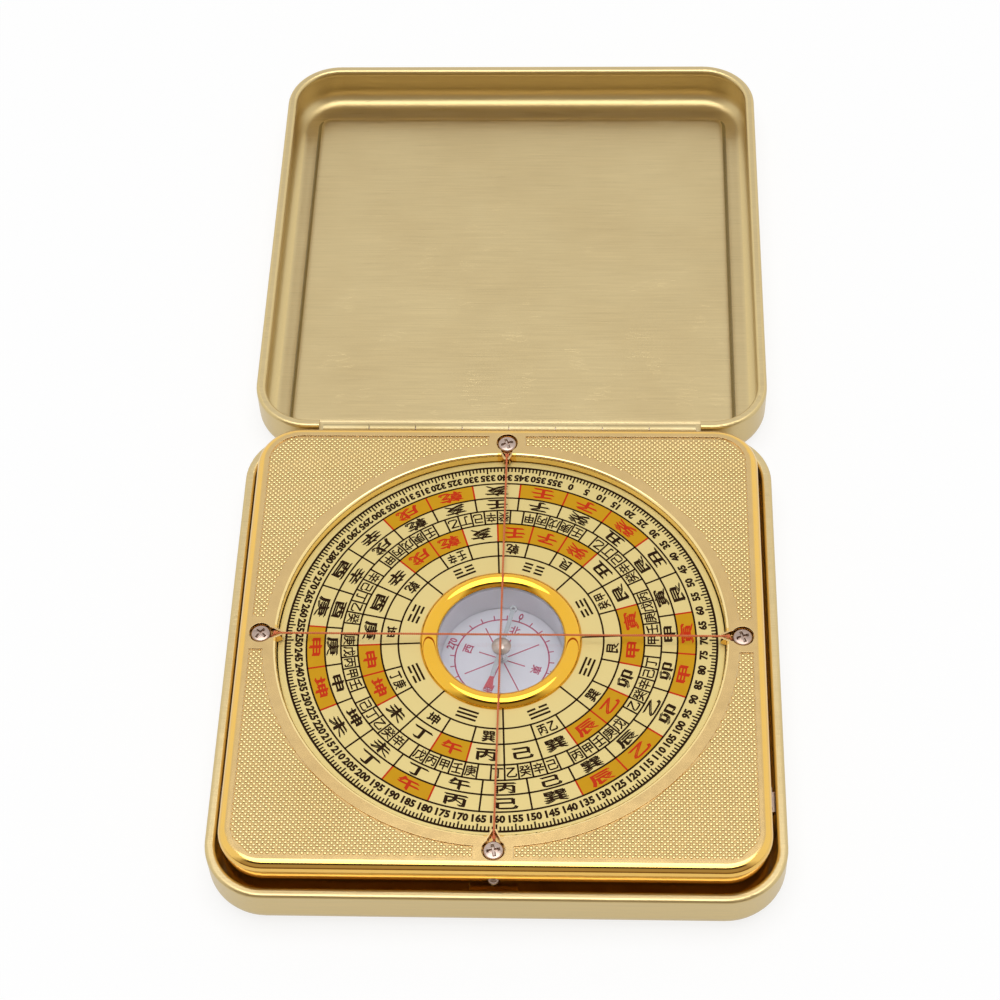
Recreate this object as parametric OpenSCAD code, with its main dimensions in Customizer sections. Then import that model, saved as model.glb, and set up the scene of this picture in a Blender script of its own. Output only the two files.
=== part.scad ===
// Pocket feng shui compass: a turning printed dial with a needle capsule, in a hinged metal case.
// The case lies open flat. The origin is on the dial's axis, on the face that the case stands on.
// X runs along the hinge, Y from the instrument towards the lid, and Z points up.

/* [Dial] */
// Diameter of the printed dial plate
dial_d = 73.5; // [66:0.1:84]
// Thickness of the printed dial plate
plate_t = 0.4; // [0.2:0.05:0.8]
// Thickness of the carrier disc under the plate
carrier_t = 1.1; // [0.8:0.1:1.6]
// How much smaller the carrier's radius is than the plate's
carrier_inset = 0.4; // [0.2:0.1:1]
// Depth of the plate's face below the top of the housing
dial_drop = 1.8; // [1.5:0.1:2.2]
// Gap between the edge of the plate and the wall of the opening
dial_gap = 0.25; // [0.2:0.05:0.6]
// Running gap under the carrier, at the felt ring
glide_gap = 0.1; // [0.06:0.02:0.2]
// Thickness of the felt ring that steadies the dial
glide_t = 0.3; // [0.2:0.1:0.6]
// Width of the felt ring
glide_w = 2; // [1:0.2:4]
// Distance of the felt ring's outer edge from the carrier's edge
glide_inset = 3.2; // [2:0.2:5]

/* [Dial bearing] */
// Wall of the carrier's spigot, which turns in the journal
spigot_wall = 1.9; // [1.4:0.1:2.6]
// Running clearance on the radius between spigot and journal
spigot_clearance = 0.06; // [0.03:0.01:0.1]
// Wall of the journal ring around the spigot
journal_wall = 1.5; // [1:0.1:2.5]
// Height of the spigot's end above the underside of the base plate
spigot_foot = 2; // [1.5:0.1:2.6]
// Thickness of the retaining clip under the journal
clip_t = 0.5; // [0.3:0.05:0.8]
// Depth of the clip's groove in the spigot
clip_groove = 0.9; // [0.5:0.1:1.2]
// How far the clip stands out of the spigot
clip_reach = 1.4; // [0.8:0.1:1.8]
// Play of the clip, in its groove and under the journal
clip_play = 0.25; // [0.1:0.05:0.4]
// Open angle of the clip
clip_mouth = 24; // [10:1:60]
// Thickness of the web in the spigot that the capsule stands on
web_t = 1; // [0.6:0.1:1.4]
// Diameter of the hole in the web
web_hole_d = 15; // [8:0.5:18]

/* [Housing] */
// Land from the opening to each side of the housing
side_land = 6.4; // [6:0.1:9]
// Land from the opening to the front and the back of the housing
front_land = 6.2; // [6:0.1:9]
// Height of the housing above the rim of the tray
housing_rise = 5; // [4.6:0.1:6.5]
// Corner radius of the housing in plan
housing_corner_r = 7.4; // [5:0.2:9]
// Radius of the housing's top edge
housing_edge_r = 1.5; // [0.6:0.1:2]
// Wall thickness of the housing
housing_wall = 1.3; // [1:0.1:1.8]
// Thickness of the housing's top
deck_t = 1.6; // [1.5:0.1:2]
// Depth of the ring that lines the opening
ring_drop = 3; // [2.6:0.1:3.4]
// Wall of the ring that lines the opening
ring_t = 1; // [0.6:0.1:1.4]
// Edge radius of the opening
ring_edge_r = 0.45; // [0.2:0.05:0.6]
// Gap between the housing's wall and the floor of the tray
wall_foot_gap = 0.5; // [0.4:0.05:0.8]
// Depth of the four textured fields
field_depth = 0.25; // [0.1:0.05:0.4]
// Land between a textured field and the side of the housing
field_inset = 2.05; // [1.8:0.05:3]
// Land between a textured field and the opening
field_land = 2.2; // [1.5:0.1:3]
// Half of the bare strip between two fields
field_strip = 3.15; // [2.8:0.05:4]
// Corner radius of the textured fields
field_corner_r = 5.4; // [3:0.1:6]

/* [Base plate] */
// Thickness of the base plate
base_t = 1.2; // [0.8:0.1:1.5]
// Gap between the base plate and the housing's wall
base_gap = 0.3; // [0.15:0.05:0.5]
// Diameter of the screw posts
post_d = 4.2; // [3.8:0.1:4.4]
// Wall of the housing's bosses beyond the posts they stand on
boss_wall = 0.5; // [0.3:0.05:0.6]
// Number of ribs between the journal and the felt ring's wall
rib_n = 8; // [4:1:12]
// Height of the ribs
rib_h = 3; // [1.5:0.5:5]
// Thickness of the ribs
rib_t = 1.2; // [0.8:0.1:2]

/* [Screws and crosshair] */
// Distance of the screws from the edge of the opening
screw_offset = 2.7; // [2.6:0.05:3]
// Diameter of the screw heads
head_d = 3.4; // [3:0.1:3.5]
// Height of the screw heads
head_h = 0.9; // [0.7:0.05:1]
// Height of the bevel around the screw heads
head_bevel = 0.36; // [0.1:0.02:0.4]
// Length of the cross slots' arms, from end to end
cross_l = 1.9; // [1.2:0.1:2.4]
// Width of the cross slots
cross_w = 0.4; // [0.2:0.05:0.6]
// Depth of the cross slots
cross_depth = 0.5; // [0.3:0.05:0.6]
// Turn of the cross slots against the threads
cross_turn = 20; // [0:5:45]
// Diameter of the screw shanks
shank_d = 2; // [1.6:0.1:2.2]
// Length of the screws under the head
shank_l = 7; // [5:0.5:8]
// Diameter of the head recesses
recess_d = 3.75; // [3.6:0.05:4]
// Depth of the head recesses
recess_depth = 1.3; // [1.2:0.05:1.4]
// Clearance on the radius of the screws in their holes
screw_clearance = 0.05; // [0.03:0.01:0.15]
// Diameter of the crosshair threads
thread_d = 0.3; // [0.2:0.01:0.34]
// Diameter of the knots at the ends of the threads
knot_d = 0.62; // [0.4:0.02:0.7]
// Gap between the capsule's bezel and the lower thread
thread_gap = 0.06; // [0.04:0.01:0.12]
// Gap between the two threads where they cross, and under the screw heads
thread_space = 0.02; // [0.01:0.01:0.05]
// Distance of the knots outside the edge of the opening
knot_offset = 0.25; // [0:0.05:0.5]
// Width of the thread notch where it leaves the recess
notch_w = 2; // [1.2:0.1:2.4]
// How far the notch's lug reaches into the opening
lug_reach = 0.9; // [0.5:0.1:1.2]
// Thickness of the lug's lips and floor
lug_lip = 0.25; // [0.15:0.05:0.3]

/* [Case] */
// Thickness of the case's sheet metal
sheet_t = 0.7; // [0.5:0.05:0.9]
// Height of the tray, and of the lid
case_h = 9.2; // [8.8:0.1:11]
// Corner radius of the case in plan
case_corner_r = 10; // [9:0.2:12]
// Outer radius around the bottom of the case
bottom_r = 3.2; // [2.4:0.1:4]
// Width of the hemmed rim
bead_w = 1.75; // [1.3:0.05:2.2]
// Height of the hemmed rim
bead_h = 1.5; // [1.2:0.05:1.8]
// Edge radius of the hemmed rim
bead_r = 0.6; // [0.3:0.05:0.7]
// Gap between the hemmed rim and the housing
housing_gap = 0.85; // [0.7:0.05:1.2]
// Distance of the stamped panels from the front and the back of each shell
panel_inset = 6.3; // [5.5:0.1:12]
// Distance of the stamped panels from the sides of each shell
panel_side = 5.2; // [4.6:0.1:12]
// Depth of the tray's panel, stamped downwards for the case to stand on
panel_depth = 0.5; // [0.3:0.05:0.7]
// Height of the lid's panel, stamped upwards into the lid
panel_rise = 0.5; // [0.3:0.05:0.7]
// Width of the sloping step around the panels
panel_slope = 0.7; // [0.4:0.1:1.5]
// Outer corner radius of the stamped panels
panel_r = 2.6; // [2:0.2:6]

/* [Hinge] */
// Number of knuckles on the two leaves together
knuckle_n = 8; // [4:2:12]
// Diameter of the knuckles
knuckle_d = 1.7; // [1.5:0.05:1.8]
// Diameter of the hinge pin
pin_d = 0.8; // [0.6:0.05:1]
// Running clearance on the radius between pin and knuckles
pin_clearance = 0.05; // [0.03:0.01:0.08]
// Gap between two knuckles
knuckle_gap = 0.15; // [0.1:0.05:0.3]
// Distance of the hinge's axis from the back of each shell
hinge_offset = 0.65; // [0.6:0.01:0.8]
// Thickness of the hinge leaves
leaf_t = 0.4; // [0.3:0.05:0.5]
// Height of the hinge leaves
leaf_h = 4; // [2:0.2:5]
// Straight stretch of the rim left at each end of the hinge
hinge_margin = 2.05; // [1:0.05:5]
// Gap between the end knuckle and the cut rim
hinge_end_gap = 0.85; // [0.3:0.05:2]
// Gap between the two rims with the lid shut
rim_gap = 0.2; // [0.1:0.05:0.4]
// Clearance of the cut rim and the leaves around the knuckles
knuckle_room = 0.3; // [0.2:0.05:0.5]

/* [Catch and clips] */
// Diameter of the catch nub
nub_d = 2.2; // [1.6:0.1:2.4]
// How far the nub stands out of the housing
nub_out = 0.5; // [0.3:0.05:0.6]
// Height of the nub above the rim of the tray
nub_rise = 1; // [0.8:0.1:1.4]
// Diameter of the nub's head inside the wall
nub_head_d = 3; // [2.6:0.1:3.4]
// Thickness of the nub's head inside the wall
nub_head_t = 0.4; // [0.2:0.05:0.5]
// Width of the pocket under the nub
pocket_w = 7.4; // [5:0.2:10]
// Depth of the pocket under the nub
pocket_depth = 0.5; // [0.2:0.05:0.6]
// How much the pocket widens to each side at its foot, and its corners are cut
pocket_flare = 0.5; // [0.2:0.1:0.8]
// Length of each side clip
clip_l = 3.6; // [2:0.1:6]
// Thickness of the side clips
side_clip_t = 0.4; // [0.3:0.05:0.5]
// Gap between the side clips and the rim of the tray
side_clip_gap = 0.3; // [0.2:0.05:0.5]
// Height of the side clips' feet above the foot of the housing's wall
side_clip_foot = 2; // [1:0.1:2.5]
// Distance of the side clips from the dial's axis, towards the front
clip_y = 27; // [10:1:30]

/* [Capsule] */
// Inner diameter of the capsule's cup
cup_d = 20.6; // [19:0.2:21]
// Wall of the cup
cup_wall = 1; // [0.7:0.1:1.1]
// Thickness of the cup's floor
cup_floor = 1; // [0.6:0.1:1.2]
// Depth from the lens to the compass card
capsule_depth = 5.8; // [5.4:0.1:6.2]
// Thickness of the lens
lens_t = 0.8; // [0.5:0.05:0.9]
// How far the underside of the lens lies below the dial's face
lens_sink = 0.2; // [0.1:0.05:0.4]
// Thickness of the gasket under the lens
gasket_t = 0.3; // [0.2:0.05:0.5]
// How far the bezel's flange reaches over the dial
bezel_flange = 1.45; // [1:0.05:2.5]
// How far the bezel's lip reaches over the lens
bezel_lip = 0.85; // [0.4:0.05:1.2]
// Height of the bezel above the dial's face
bezel_rise = 1.2; // [1:0.05:1.3]
// Radius of the bezel's outer edge
bezel_edge_r = 0.7; // [0.3:0.05:0.9]
// Width of the slope from the bezel's crown to its window
bezel_slope = 1.1; // [0.6:0.05:1.6]
// Thickness of the bezel's lip over the lens
bezel_lip_t = 0.15; // [0.1:0.01:0.3]
// Depth of the bezel's skirt below the dial's face
skirt_drop = 1.4; // [0.8:0.1:2]
// Wall of the bezel's skirt
skirt_t = 0.6; // [0.4:0.05:0.8]
// Clearance between the pieces of the capsule
capsule_clearance = 0.05; // [0.03:0.01:0.1]
// Gap between the compass card and the wall of the cup
card_gap = 0.2; // [0.05:0.05:0.4]
// Thickness of the compass card
card_t = 0.2; // [0.1:0.05:0.3]

/* [Needle] */
// Length of the needle's tail
tail_l = 8.4; // [6:0.1:9]
// Length of the needle's pointer
tip_l = 8.6; // [6:0.1:9]
// Width of the needle's blade
blade_w = 0.7; // [0.4:0.05:1]
// Thickness of the needle's blade
blade_t = 0.2; // [0.1:0.05:0.3]
// Width of the pointer's painted end, which widens outwards to a swallow's tail
swallow_w = 1.6; // [1:0.1:2.4]
// Length of the pointer's painted end
swallow_l = 2.6; // [1.4:0.1:4]
// Depth of the notch in the pointer's painted end
swallow_notch = 0.6; // [0.2:0.1:1.2]
// Diameter of the ring at the tail
tail_ring_d = 1.3; // [1:0.1:1.6]
// Diameter of the hole in the tail's ring
tail_hole_d = 0.65; // [0.4:0.05:0.8]
// Diameter of the needle's cap
cap_d = 3.2; // [2.6:0.1:3.6]
// Height of the needle's cap
cap_h = 1; // [0.8:0.1:1.2]
// Height of the cap's straight rim
cap_rim_t = 0.3; // [0.1:0.05:0.5]
// Height of the jewel inside the cap, above the blade
jewel_rise = 0.5; // [0.3:0.05:0.6]
// Height of the needle's blade above the card
needle_rise = 3.8; // [3.2:0.1:4]
// Diameter of the pivot pin
pivot_d = 0.7; // [0.5:0.05:0.9]
// Diameter of the pivot pin's collar on the card
collar_d = 2; // [1.4:0.1:2.6]
// Thickness of the pivot pin's collar
collar_t = 0.3; // [0.2:0.05:0.5]
// Length of the pivot pin's tapered point
point_l = 0.7; // [0.5:0.05:1]
// Diameter of the point's end
point_d = 0.07; // [0.04:0.01:0.15]
// Diameter of the jewel in the needle's cap
jewel_d = 1.8; // [1.4:0.1:2]
// Free gap around the pivot's point in the jewel
pivot_gap = 0.06; // [0.03:0.01:0.1]
// Heading of the needle at rest, clockwise from the hinge side
needle_heading = 13.5; // [0:0.5:359]
// Turn of the dial at rest, clockwise from the hinge side
dial_heading = 19.5; // [0:0.5:359]

/* [Hidden] */
$fn = 96;

// How far the pieces of one sheet or moulding run into each other where they join
lap = 0.3;

// Plan sizes, from the dial outwards
opening_r = dial_d / 2 + dial_gap;
housing_w = 2 * (opening_r + side_land);
housing_l = 2 * (opening_r + front_land);
case_w = housing_w + 2 * (housing_gap + bead_w);
case_l = housing_l + 2 * (housing_gap + bead_w);
screw_r = opening_r + screw_offset;
carrier_r = dial_d / 2 - carrier_inset;
glide_r = carrier_r - glide_inset;

// Heights, from the table up
floor_z = panel_depth + sheet_t;
base_z = floor_z;
top_z = case_h + housing_rise;
dial_z = top_z - dial_drop;
carrier_z = dial_z - plate_t - carrier_t;
glide_z = carrier_z - glide_gap - glide_t;
recess_z = top_z - recess_depth;
post_top = top_z - ring_drop;
wall_foot_z = floor_z + wall_foot_gap;

// Bearing of the dial, under the carrier
cup_r = cup_d / 2 + cup_wall;
skirt_r = cup_r + capsule_clearance + skirt_t;
spigot_bore_r = skirt_r + capsule_clearance;
spigot_r = spigot_bore_r + spigot_wall;
spigot_z = base_z + spigot_foot;
clip_z = spigot_z + clip_t + clip_play;
journal_r = spigot_r + spigot_clearance;
journal_lip_z = clip_z + clip_t + clip_play;
journal_top = carrier_z - 2 * glide_gap;
clip_r = spigot_r + clip_reach;
clip_room_r = clip_r + 2 * clip_play;

// Capsule, from the dial's face down to the web it stands on
lens_z = dial_z - lens_sink;
cup_top = lens_z - gasket_t;
card_z = lens_z - capsule_depth;
cup_z = card_z - card_t - cup_floor;
bezel_top = dial_z + bezel_rise;
bezel_r = skirt_r + bezel_flange;
window_r = cup_r - bezel_lip;

// Crosshair threads, one crossing over the other
thread_ns_z = bezel_top + thread_gap + thread_d / 2;
thread_ew_z = thread_ns_z + thread_d + thread_space;
loop_r = shank_d / 2 + screw_clearance + thread_d / 2;
loop_z = recess_z + thread_d / 2;
head_z = recess_z + thread_d + 2 * thread_space;
knot_r = opening_r + knot_offset;

// Needle and the point it turns on
needle_z = card_z + needle_rise;
point_z = needle_z + blade_t / 2;
jewel_h = blade_t + jewel_rise;

// Hinge
axis_y = case_l / 2 + hinge_offset;
axis_z = case_h + rim_gap / 2;
hinge_l = case_w - 2 * case_corner_r - 2 * hinge_margin;
knuckle_run = hinge_l - 2 * hinge_end_gap;
knuckle_pitch = knuckle_run / knuckle_n;
leaf_top = axis_z - knuckle_d / 2 - knuckle_room;

// Colours
shell_colour = [0.80, 0.72, 0.52];
plated_colour = [0.90, 0.74, 0.38];
bezel_colour = [0.93, 0.72, 0.20];
hinge_colour = [0.78, 0.68, 0.45];
steel_colour = [0.78, 0.74, 0.72];
base_colour = [0.20, 0.20, 0.21];
felt_colour = [0.35, 0.12, 0.12];
thread_colour = [0.85, 0.25, 0.18];
dial_colour = [0.86, 0.80, 0.52];
cup_colour = [0.88, 0.88, 0.90];
card_colour = [0.93, 0.93, 0.95];
glass_colour = [0.80, 0.88, 0.92, 0.4];
rubber_colour = [0.12, 0.12, 0.12];
jewel_colour = [0.75, 0.20, 0.30];

// Rounded rectangle, centred
module rounded_rect(w, l, r) {
    square([w - 2 * r, l], center = true);
    square([w, l - 2 * r], center = true);
    for (x = [-1, 1], y = [-1, 1])
        translate([x * (w / 2 - r), y * (l / 2 - r)]) circle(r);
}

// Carries a wall section around a rounded rectangle.
// The section's X is measured outwards from the outline, and its Y is the height.
module swept_wall(w, l, r) {
    for (turn = [0, 180]) rotate([0, 0, turn]) {
        translate([w / 2, l / 2 - r, 0])
            rotate([90, 0, 0]) linear_extrude(l - 2 * r) children();
        translate([w / 2 - r, l / 2 - r, 0])
            rotate_extrude(angle = 90) translate([r, 0]) children();
        rotate([0, 0, 90]) translate([l / 2, w / 2 - r, 0])
            rotate([90, 0, 0]) linear_extrude(w - 2 * r) children();
        rotate([0, 0, 90]) translate([l / 2 - r, w / 2 - r, 0])
            rotate_extrude(angle = 90) translate([r, 0]) children();
    }
}

// Ring with a square section, standing on z
module ring(outer_r, inner_r, z, h) {
    translate([0, 0, z]) difference() {
        cylinder(r = outer_r, h = h);
        translate([0, 0, -1]) cylinder(r = inner_r, h = h + 2);
    }
}

// Places its children at each of the four screws, turned so that +X points outwards
module at_screws() {
    for (turn = [0:90:270]) rotate([0, 0, turn]) translate([screw_r, 0, 0]) children();
}

// Case

// Section through the wall of a shell: rounded foot, upright wall and hemmed rim
module shell_section(border_z) {
    foot_z = border_z + bottom_r;
    bead_z = case_h - bead_h;
    translate([-sheet_t, foot_z]) square([sheet_t, bead_z + bead_r - foot_z]);
    difference() {
        intersection() {
            translate([-bottom_r, foot_z]) circle(bottom_r);
            translate([-bottom_r, border_z]) square(bottom_r);
        }
        translate([-bottom_r, foot_z]) circle(bottom_r - sheet_t);
    }
    translate([-bottom_r - lap, border_z]) square([lap, sheet_t]);
    translate([-bead_w / 2, bead_z + bead_h / 2]) rounded_rect(bead_w, bead_h, bead_r);
}

// Sloping step from the border of a shell's floor to its stamped panel
module panel_step_section(border_z, panel_z) {
    polygon([
        [lap, border_z], [lap, border_z + sheet_t], [0, border_z + sheet_t],
        [-panel_slope, panel_z + sheet_t], [-panel_slope - lap, panel_z + sheet_t],
        [-panel_slope - lap, panel_z], [-panel_slope, panel_z], [0, border_z],
    ]);
}

// One shell of the case, with its hinge side at +Y.
// The undersides of its floor's border and of its panel lie at the two heights.
module case_shell(border_z, panel_z) {
    panel_w = case_w - 2 * panel_side;
    panel_l = case_l - 2 * panel_inset;
    difference() {
        union() {
            swept_wall(case_w, case_l, case_corner_r) shell_section(border_z);
            translate([0, 0, border_z]) linear_extrude(sheet_t) difference() {
                rounded_rect(case_w - 2 * bottom_r, case_l - 2 * bottom_r,
                    case_corner_r - bottom_r);
                rounded_rect(panel_w, panel_l, panel_r);
            }
            swept_wall(panel_w, panel_l, panel_r) panel_step_section(border_z, panel_z);
            translate([0, 0, panel_z]) linear_extrude(sheet_t)
                rounded_rect(panel_w - 2 * panel_slope, panel_l - 2 * panel_slope,
                    panel_r - panel_slope);
        }
        // The rim is cut away where the hinge lies
        translate([-hinge_l / 2, case_l / 2 - bead_w - 1, leaf_top])
            cube([hinge_l, bead_w + 2, bead_h + 1]);
    }
}

module tray_shell() {
    color(shell_colour) case_shell(panel_depth, 0);
}

module lid_shell() {
    color(shell_colour) translate([0, 2 * axis_y, 0]) mirror([0, 1, 0])
        case_shell(0, panel_rise);
}

// Hinge

// One leaf with every second knuckle, for the shell on the -Y side of the axis
module hinge_leaf(first) {
    back_y = -hinge_offset;
    translate([0, axis_y, 0]) difference() {
        union() {
            translate([-knuckle_run / 2, back_y, leaf_top - leaf_h])
                cube([knuckle_run, leaf_t, leaf_h]);
            for (i = [first:2:knuckle_n - 1])
                translate([-knuckle_run / 2 + i * knuckle_pitch + knuckle_gap / 2, 0, 0]) {
                    translate([0, back_y, leaf_top - leaf_h])
                        cube([knuckle_pitch - knuckle_gap, leaf_t, axis_z - leaf_top + leaf_h]);
                    translate([0, 0, axis_z]) rotate([0, 90, 0])
                        cylinder(d = knuckle_d, h = knuckle_pitch - knuckle_gap, $fn = 48);
                }
        }
        translate([-knuckle_run, 0, axis_z]) rotate([0, 90, 0])
            cylinder(r = pin_d / 2 + pin_clearance, h = 2 * knuckle_run, $fn = 48);
    }
}

module hinge_leaf_tray() {
    color(hinge_colour) hinge_leaf(1);
}

module hinge_leaf_lid() {
    color(hinge_colour) translate([0, 2 * axis_y, 0]) mirror([0, 1, 0]) hinge_leaf(0);
}

module hinge_pin() {
    color(steel_colour) translate([-knuckle_run / 2, axis_y, axis_z])
        rotate([0, 90, 0]) cylinder(d = pin_d, h = knuckle_run, $fn = 48);
}

// Instrument housing

// Section through the wall of the housing, with its rounded top edge
module housing_section() {
    translate([-housing_wall, wall_foot_z])
        square([housing_wall, top_z - housing_edge_r - wall_foot_z]);
    intersection() {
        translate([-housing_edge_r, top_z - housing_edge_r]) circle(housing_edge_r);
        translate([-housing_edge_r, top_z - housing_edge_r]) square(housing_edge_r);
    }
    if (deck_t > housing_edge_r)
        translate([-housing_edge_r, top_z - deck_t])
            square([housing_edge_r, deck_t - housing_edge_r]);
    translate([-housing_edge_r - lap, top_z - deck_t]) square([lap, deck_t]);
}

// Section through the ring that lines the opening, with its rounded inner edge
module opening_section() {
    translate([opening_r, post_top]) square([ring_t, ring_drop - ring_edge_r]);
    translate([opening_r + ring_edge_r, post_top])
        square([ring_t - ring_edge_r, ring_drop]);
    translate([opening_r + ring_edge_r, top_z - ring_edge_r]) circle(ring_edge_r, $fn = 48);
}

// Outline of the four textured fields
module field_outline() {
    difference() {
        rounded_rect(housing_w - 2 * field_inset, housing_l - 2 * field_inset, field_corner_r);
        circle(opening_r + field_land);
        square([2 * field_strip, housing_l], center = true);
        square([housing_w, 2 * field_strip], center = true);
    }
}

// Outline of the thread notch, from the recess towards the dial. A lip widens it to the lug.
module notch_outline(lip) {
    mouth_x = -screw_offset + 2 * ring_edge_r;
    mouth_w = notch_w / 2 + lip;
    tip_x = -screw_offset - lug_reach + lug_lip - lip;
    tip_w = thread_d / 2 + screw_clearance + lip;
    polygon([
        [-recess_d / 4, mouth_w], [mouth_x, mouth_w], [tip_x, tip_w],
        [tip_x, -tip_w], [mouth_x, -mouth_w], [-recess_d / 4, -mouth_w],
    ]);
}

// Pocket in the front wall under the catch nub, wider at its foot
module nub_pocket() {
    pocket_top = case_h + nub_rise;
    half_w = pocket_w / 2;
    translate([0, -housing_l / 2 + pocket_depth, 0]) rotate([90, 0, 0])
        linear_extrude(pocket_depth + 1) polygon([
            [-half_w - pocket_flare, 0], [half_w + pocket_flare, 0],
            [half_w, pocket_top - pocket_flare], [half_w - pocket_flare, pocket_top],
            [-half_w + pocket_flare, pocket_top], [-half_w, pocket_top - pocket_flare],
        ]);
}

// Slot through the lug's tip, for the thread
module thread_slot() {
    slot_w = thread_d + 2 * screw_clearance;
    translate([-screw_offset - lug_reach - lug_lip, -slot_w / 2, thread_ns_z - slot_w / 2])
        cube([3 * lug_lip, slot_w, top_z]);
}

module housing_frame() {
    boss_r = post_d / 2 + boss_wall;
    color(plated_colour) difference() {
        union() {
            swept_wall(housing_w, housing_l, housing_corner_r) housing_section();
            translate([0, 0, top_z - deck_t]) linear_extrude(deck_t) difference() {
                rounded_rect(housing_w - 2 * housing_edge_r, housing_l - 2 * housing_edge_r,
                    housing_corner_r - housing_edge_r);
                circle(opening_r + ring_edge_r);
            }
            rotate_extrude() opening_section();
            at_screws() {
                translate([0, 0, post_top]) cylinder(r = boss_r, h = ring_drop - deck_t + lap);
                translate([0, 0, recess_z - lug_lip]) linear_extrude(recess_depth + lug_lip)
                    notch_outline(lug_lip);
            }
        }
        at_screws() {
            translate([0, 0, recess_z]) {
                cylinder(d = recess_d, h = recess_depth + 1);
                linear_extrude(recess_depth + 1) notch_outline(0);
            }
            translate([0, 0, post_top - 1])
                cylinder(r = shank_d / 2 + screw_clearance, h = ring_drop, $fn = 48);
            thread_slot();
        }
        translate([0, 0, top_z - field_depth]) linear_extrude(field_depth + 1) field_outline();
        nub_pocket();
        nub_bore();
        side_clip_slots();
    }
}

// The plate that closes the housing from below: screw posts, felt ring wall, ribs and journal
module housing_base() {
    journal_outer_r = journal_r + journal_wall;
    skirt_outer_r = clip_room_r + journal_wall;
    color(base_colour) difference() {
        union() {
            translate([0, 0, base_z]) linear_extrude(base_t) rounded_rect(
                housing_w - 2 * (housing_wall + base_gap),
                housing_l - 2 * (housing_wall + base_gap),
                housing_corner_r - housing_wall - base_gap);
            at_screws() translate([0, 0, base_z]) cylinder(d = post_d, h = post_top - base_z);
            ring(glide_r, glide_r - glide_w, base_z, glide_z - base_z);
            for (i = [0:rib_n - 1]) rotate([0, 0, (i + 0.5) * 360 / rib_n])
                translate([journal_r + journal_wall / 2, -rib_t / 2, base_z])
                    cube([glide_r - glide_w / 2 - journal_r - journal_wall / 2, rib_t,
                        base_t + rib_h]);
            translate([0, 0, base_z])
                cylinder(r = skirt_outer_r, h = journal_lip_z + journal_wall - base_z);
            translate([0, 0, base_z]) cylinder(r = journal_outer_r, h = journal_top - base_z);
        }
        translate([0, 0, base_z - 1]) cylinder(r = clip_room_r, h = journal_lip_z - base_z + 1);
        translate([0, 0, base_z]) cylinder(r = journal_r, h = top_z);
        at_screws() translate([0, 0, head_z - shank_l - 1])
            cylinder(r = shank_d / 2 + screw_clearance, h = top_z, $fn = 48);
    }
}

// Section through a side clip: a foot through the wall, a spring leg and a barb under the rim.
// With a fit above zero it is only the slot for the foot.
module side_clip_section(fit) {
    face_x = housing_w / 2;
    foot_x = face_x - housing_wall - side_clip_t;
    slot_z = wall_foot_z + side_clip_foot;
    barb_z = case_h - bead_h - side_clip_gap;
    barb_x = case_w / 2 - bead_w + side_clip_t;
    leg_x = face_x + side_clip_t;
    translate([foot_x, slot_z - fit]) square([leg_x - foot_x, side_clip_t + 2 * fit]);
    if (fit == 0) {
        translate([foot_x, slot_z]) square([side_clip_t, 3 * side_clip_t]);
        translate([face_x, slot_z])
            square([side_clip_t, case_h - side_clip_gap - slot_z]);
        polygon([
            [face_x, barb_z - 4 * side_clip_t], [leg_x, barb_z - 4 * side_clip_t],
            [barb_x, barb_z - side_clip_t], [barb_x, barb_z], [face_x, barb_z],
        ]);
    }
}

module side_clip_slots() {
    for (side = [0, 1]) mirror([side, 0, 0])
        translate([0, -clip_y + clip_l / 2 + screw_clearance, 0]) rotate([90, 0, 0])
            linear_extrude(clip_l + 2 * screw_clearance) side_clip_section(screw_clearance);
}

module side_clips() {
    color(steel_colour) for (side = [0, 1]) mirror([side, 0, 0])
        translate([0, -clip_y + clip_l / 2, 0]) rotate([90, 0, 0])
            linear_extrude(clip_l) side_clip_section(0);
}

// Stepped bore through the front wall for the catch nub and its head
module nub_bore() {
    head_depth = housing_wall - nub_head_t - screw_clearance;
    translate([0, -housing_l / 2, case_h + nub_rise]) rotate([-90, 0, 0]) {
        translate([0, 0, -1]) cylinder(r = nub_d / 2 + screw_clearance, h = 2, $fn = 48);
        translate([0, 0, head_depth])
            cylinder(r = nub_head_d / 2 + screw_clearance, h = nub_head_t + 2 * screw_clearance,
                $fn = 48);
    }
}

// The nub that the lid's rim snaps over, pressed into the front wall from inside
module catch_nub() {
    ball_y = nub_d / 2 - nub_out;
    color(steel_colour) translate([0, -housing_l / 2, case_h + nub_rise]) rotate([-90, 0, 0]) {
        intersection() {
            translate([0, 0, ball_y]) sphere(d = nub_d, $fn = 48);
            translate([0, 0, -nub_out]) cylinder(d = nub_d, h = nub_d / 2, $fn = 48);
        }
        translate([0, 0, ball_y]) cylinder(d = nub_d, h = housing_wall - ball_y, $fn = 48);
        translate([0, 0, housing_wall - nub_head_t])
            cylinder(d = nub_head_d, h = nub_head_t, $fn = 48);
    }
}

module glide_ring() {
    color(felt_colour) ring(glide_r, glide_r - glide_w, glide_z, glide_t);
}

// Screws and crosshair

// Four cross-headed screws that hold the housing and the threads
module thread_screws() {
    bevel_z = head_z + head_h - head_bevel;
    color(steel_colour) at_screws() difference() {
        union() {
            translate([0, 0, head_z - shank_l])
                cylinder(d = shank_d, h = shank_l + head_h / 2, $fn = 48);
            translate([0, 0, head_z]) cylinder(d = head_d, h = head_h - head_bevel, $fn = 64);
            translate([0, 0, bevel_z])
                cylinder(d1 = head_d, d2 = head_d - 2 * head_bevel, h = head_bevel, $fn = 64);
        }
        for (turn = [cross_turn, cross_turn + 90]) rotate([0, 0, turn])
            translate([-cross_l / 2, -cross_w / 2, head_z + head_h - cross_depth])
                cube([cross_l, cross_w, head_h]);
    }
}

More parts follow.
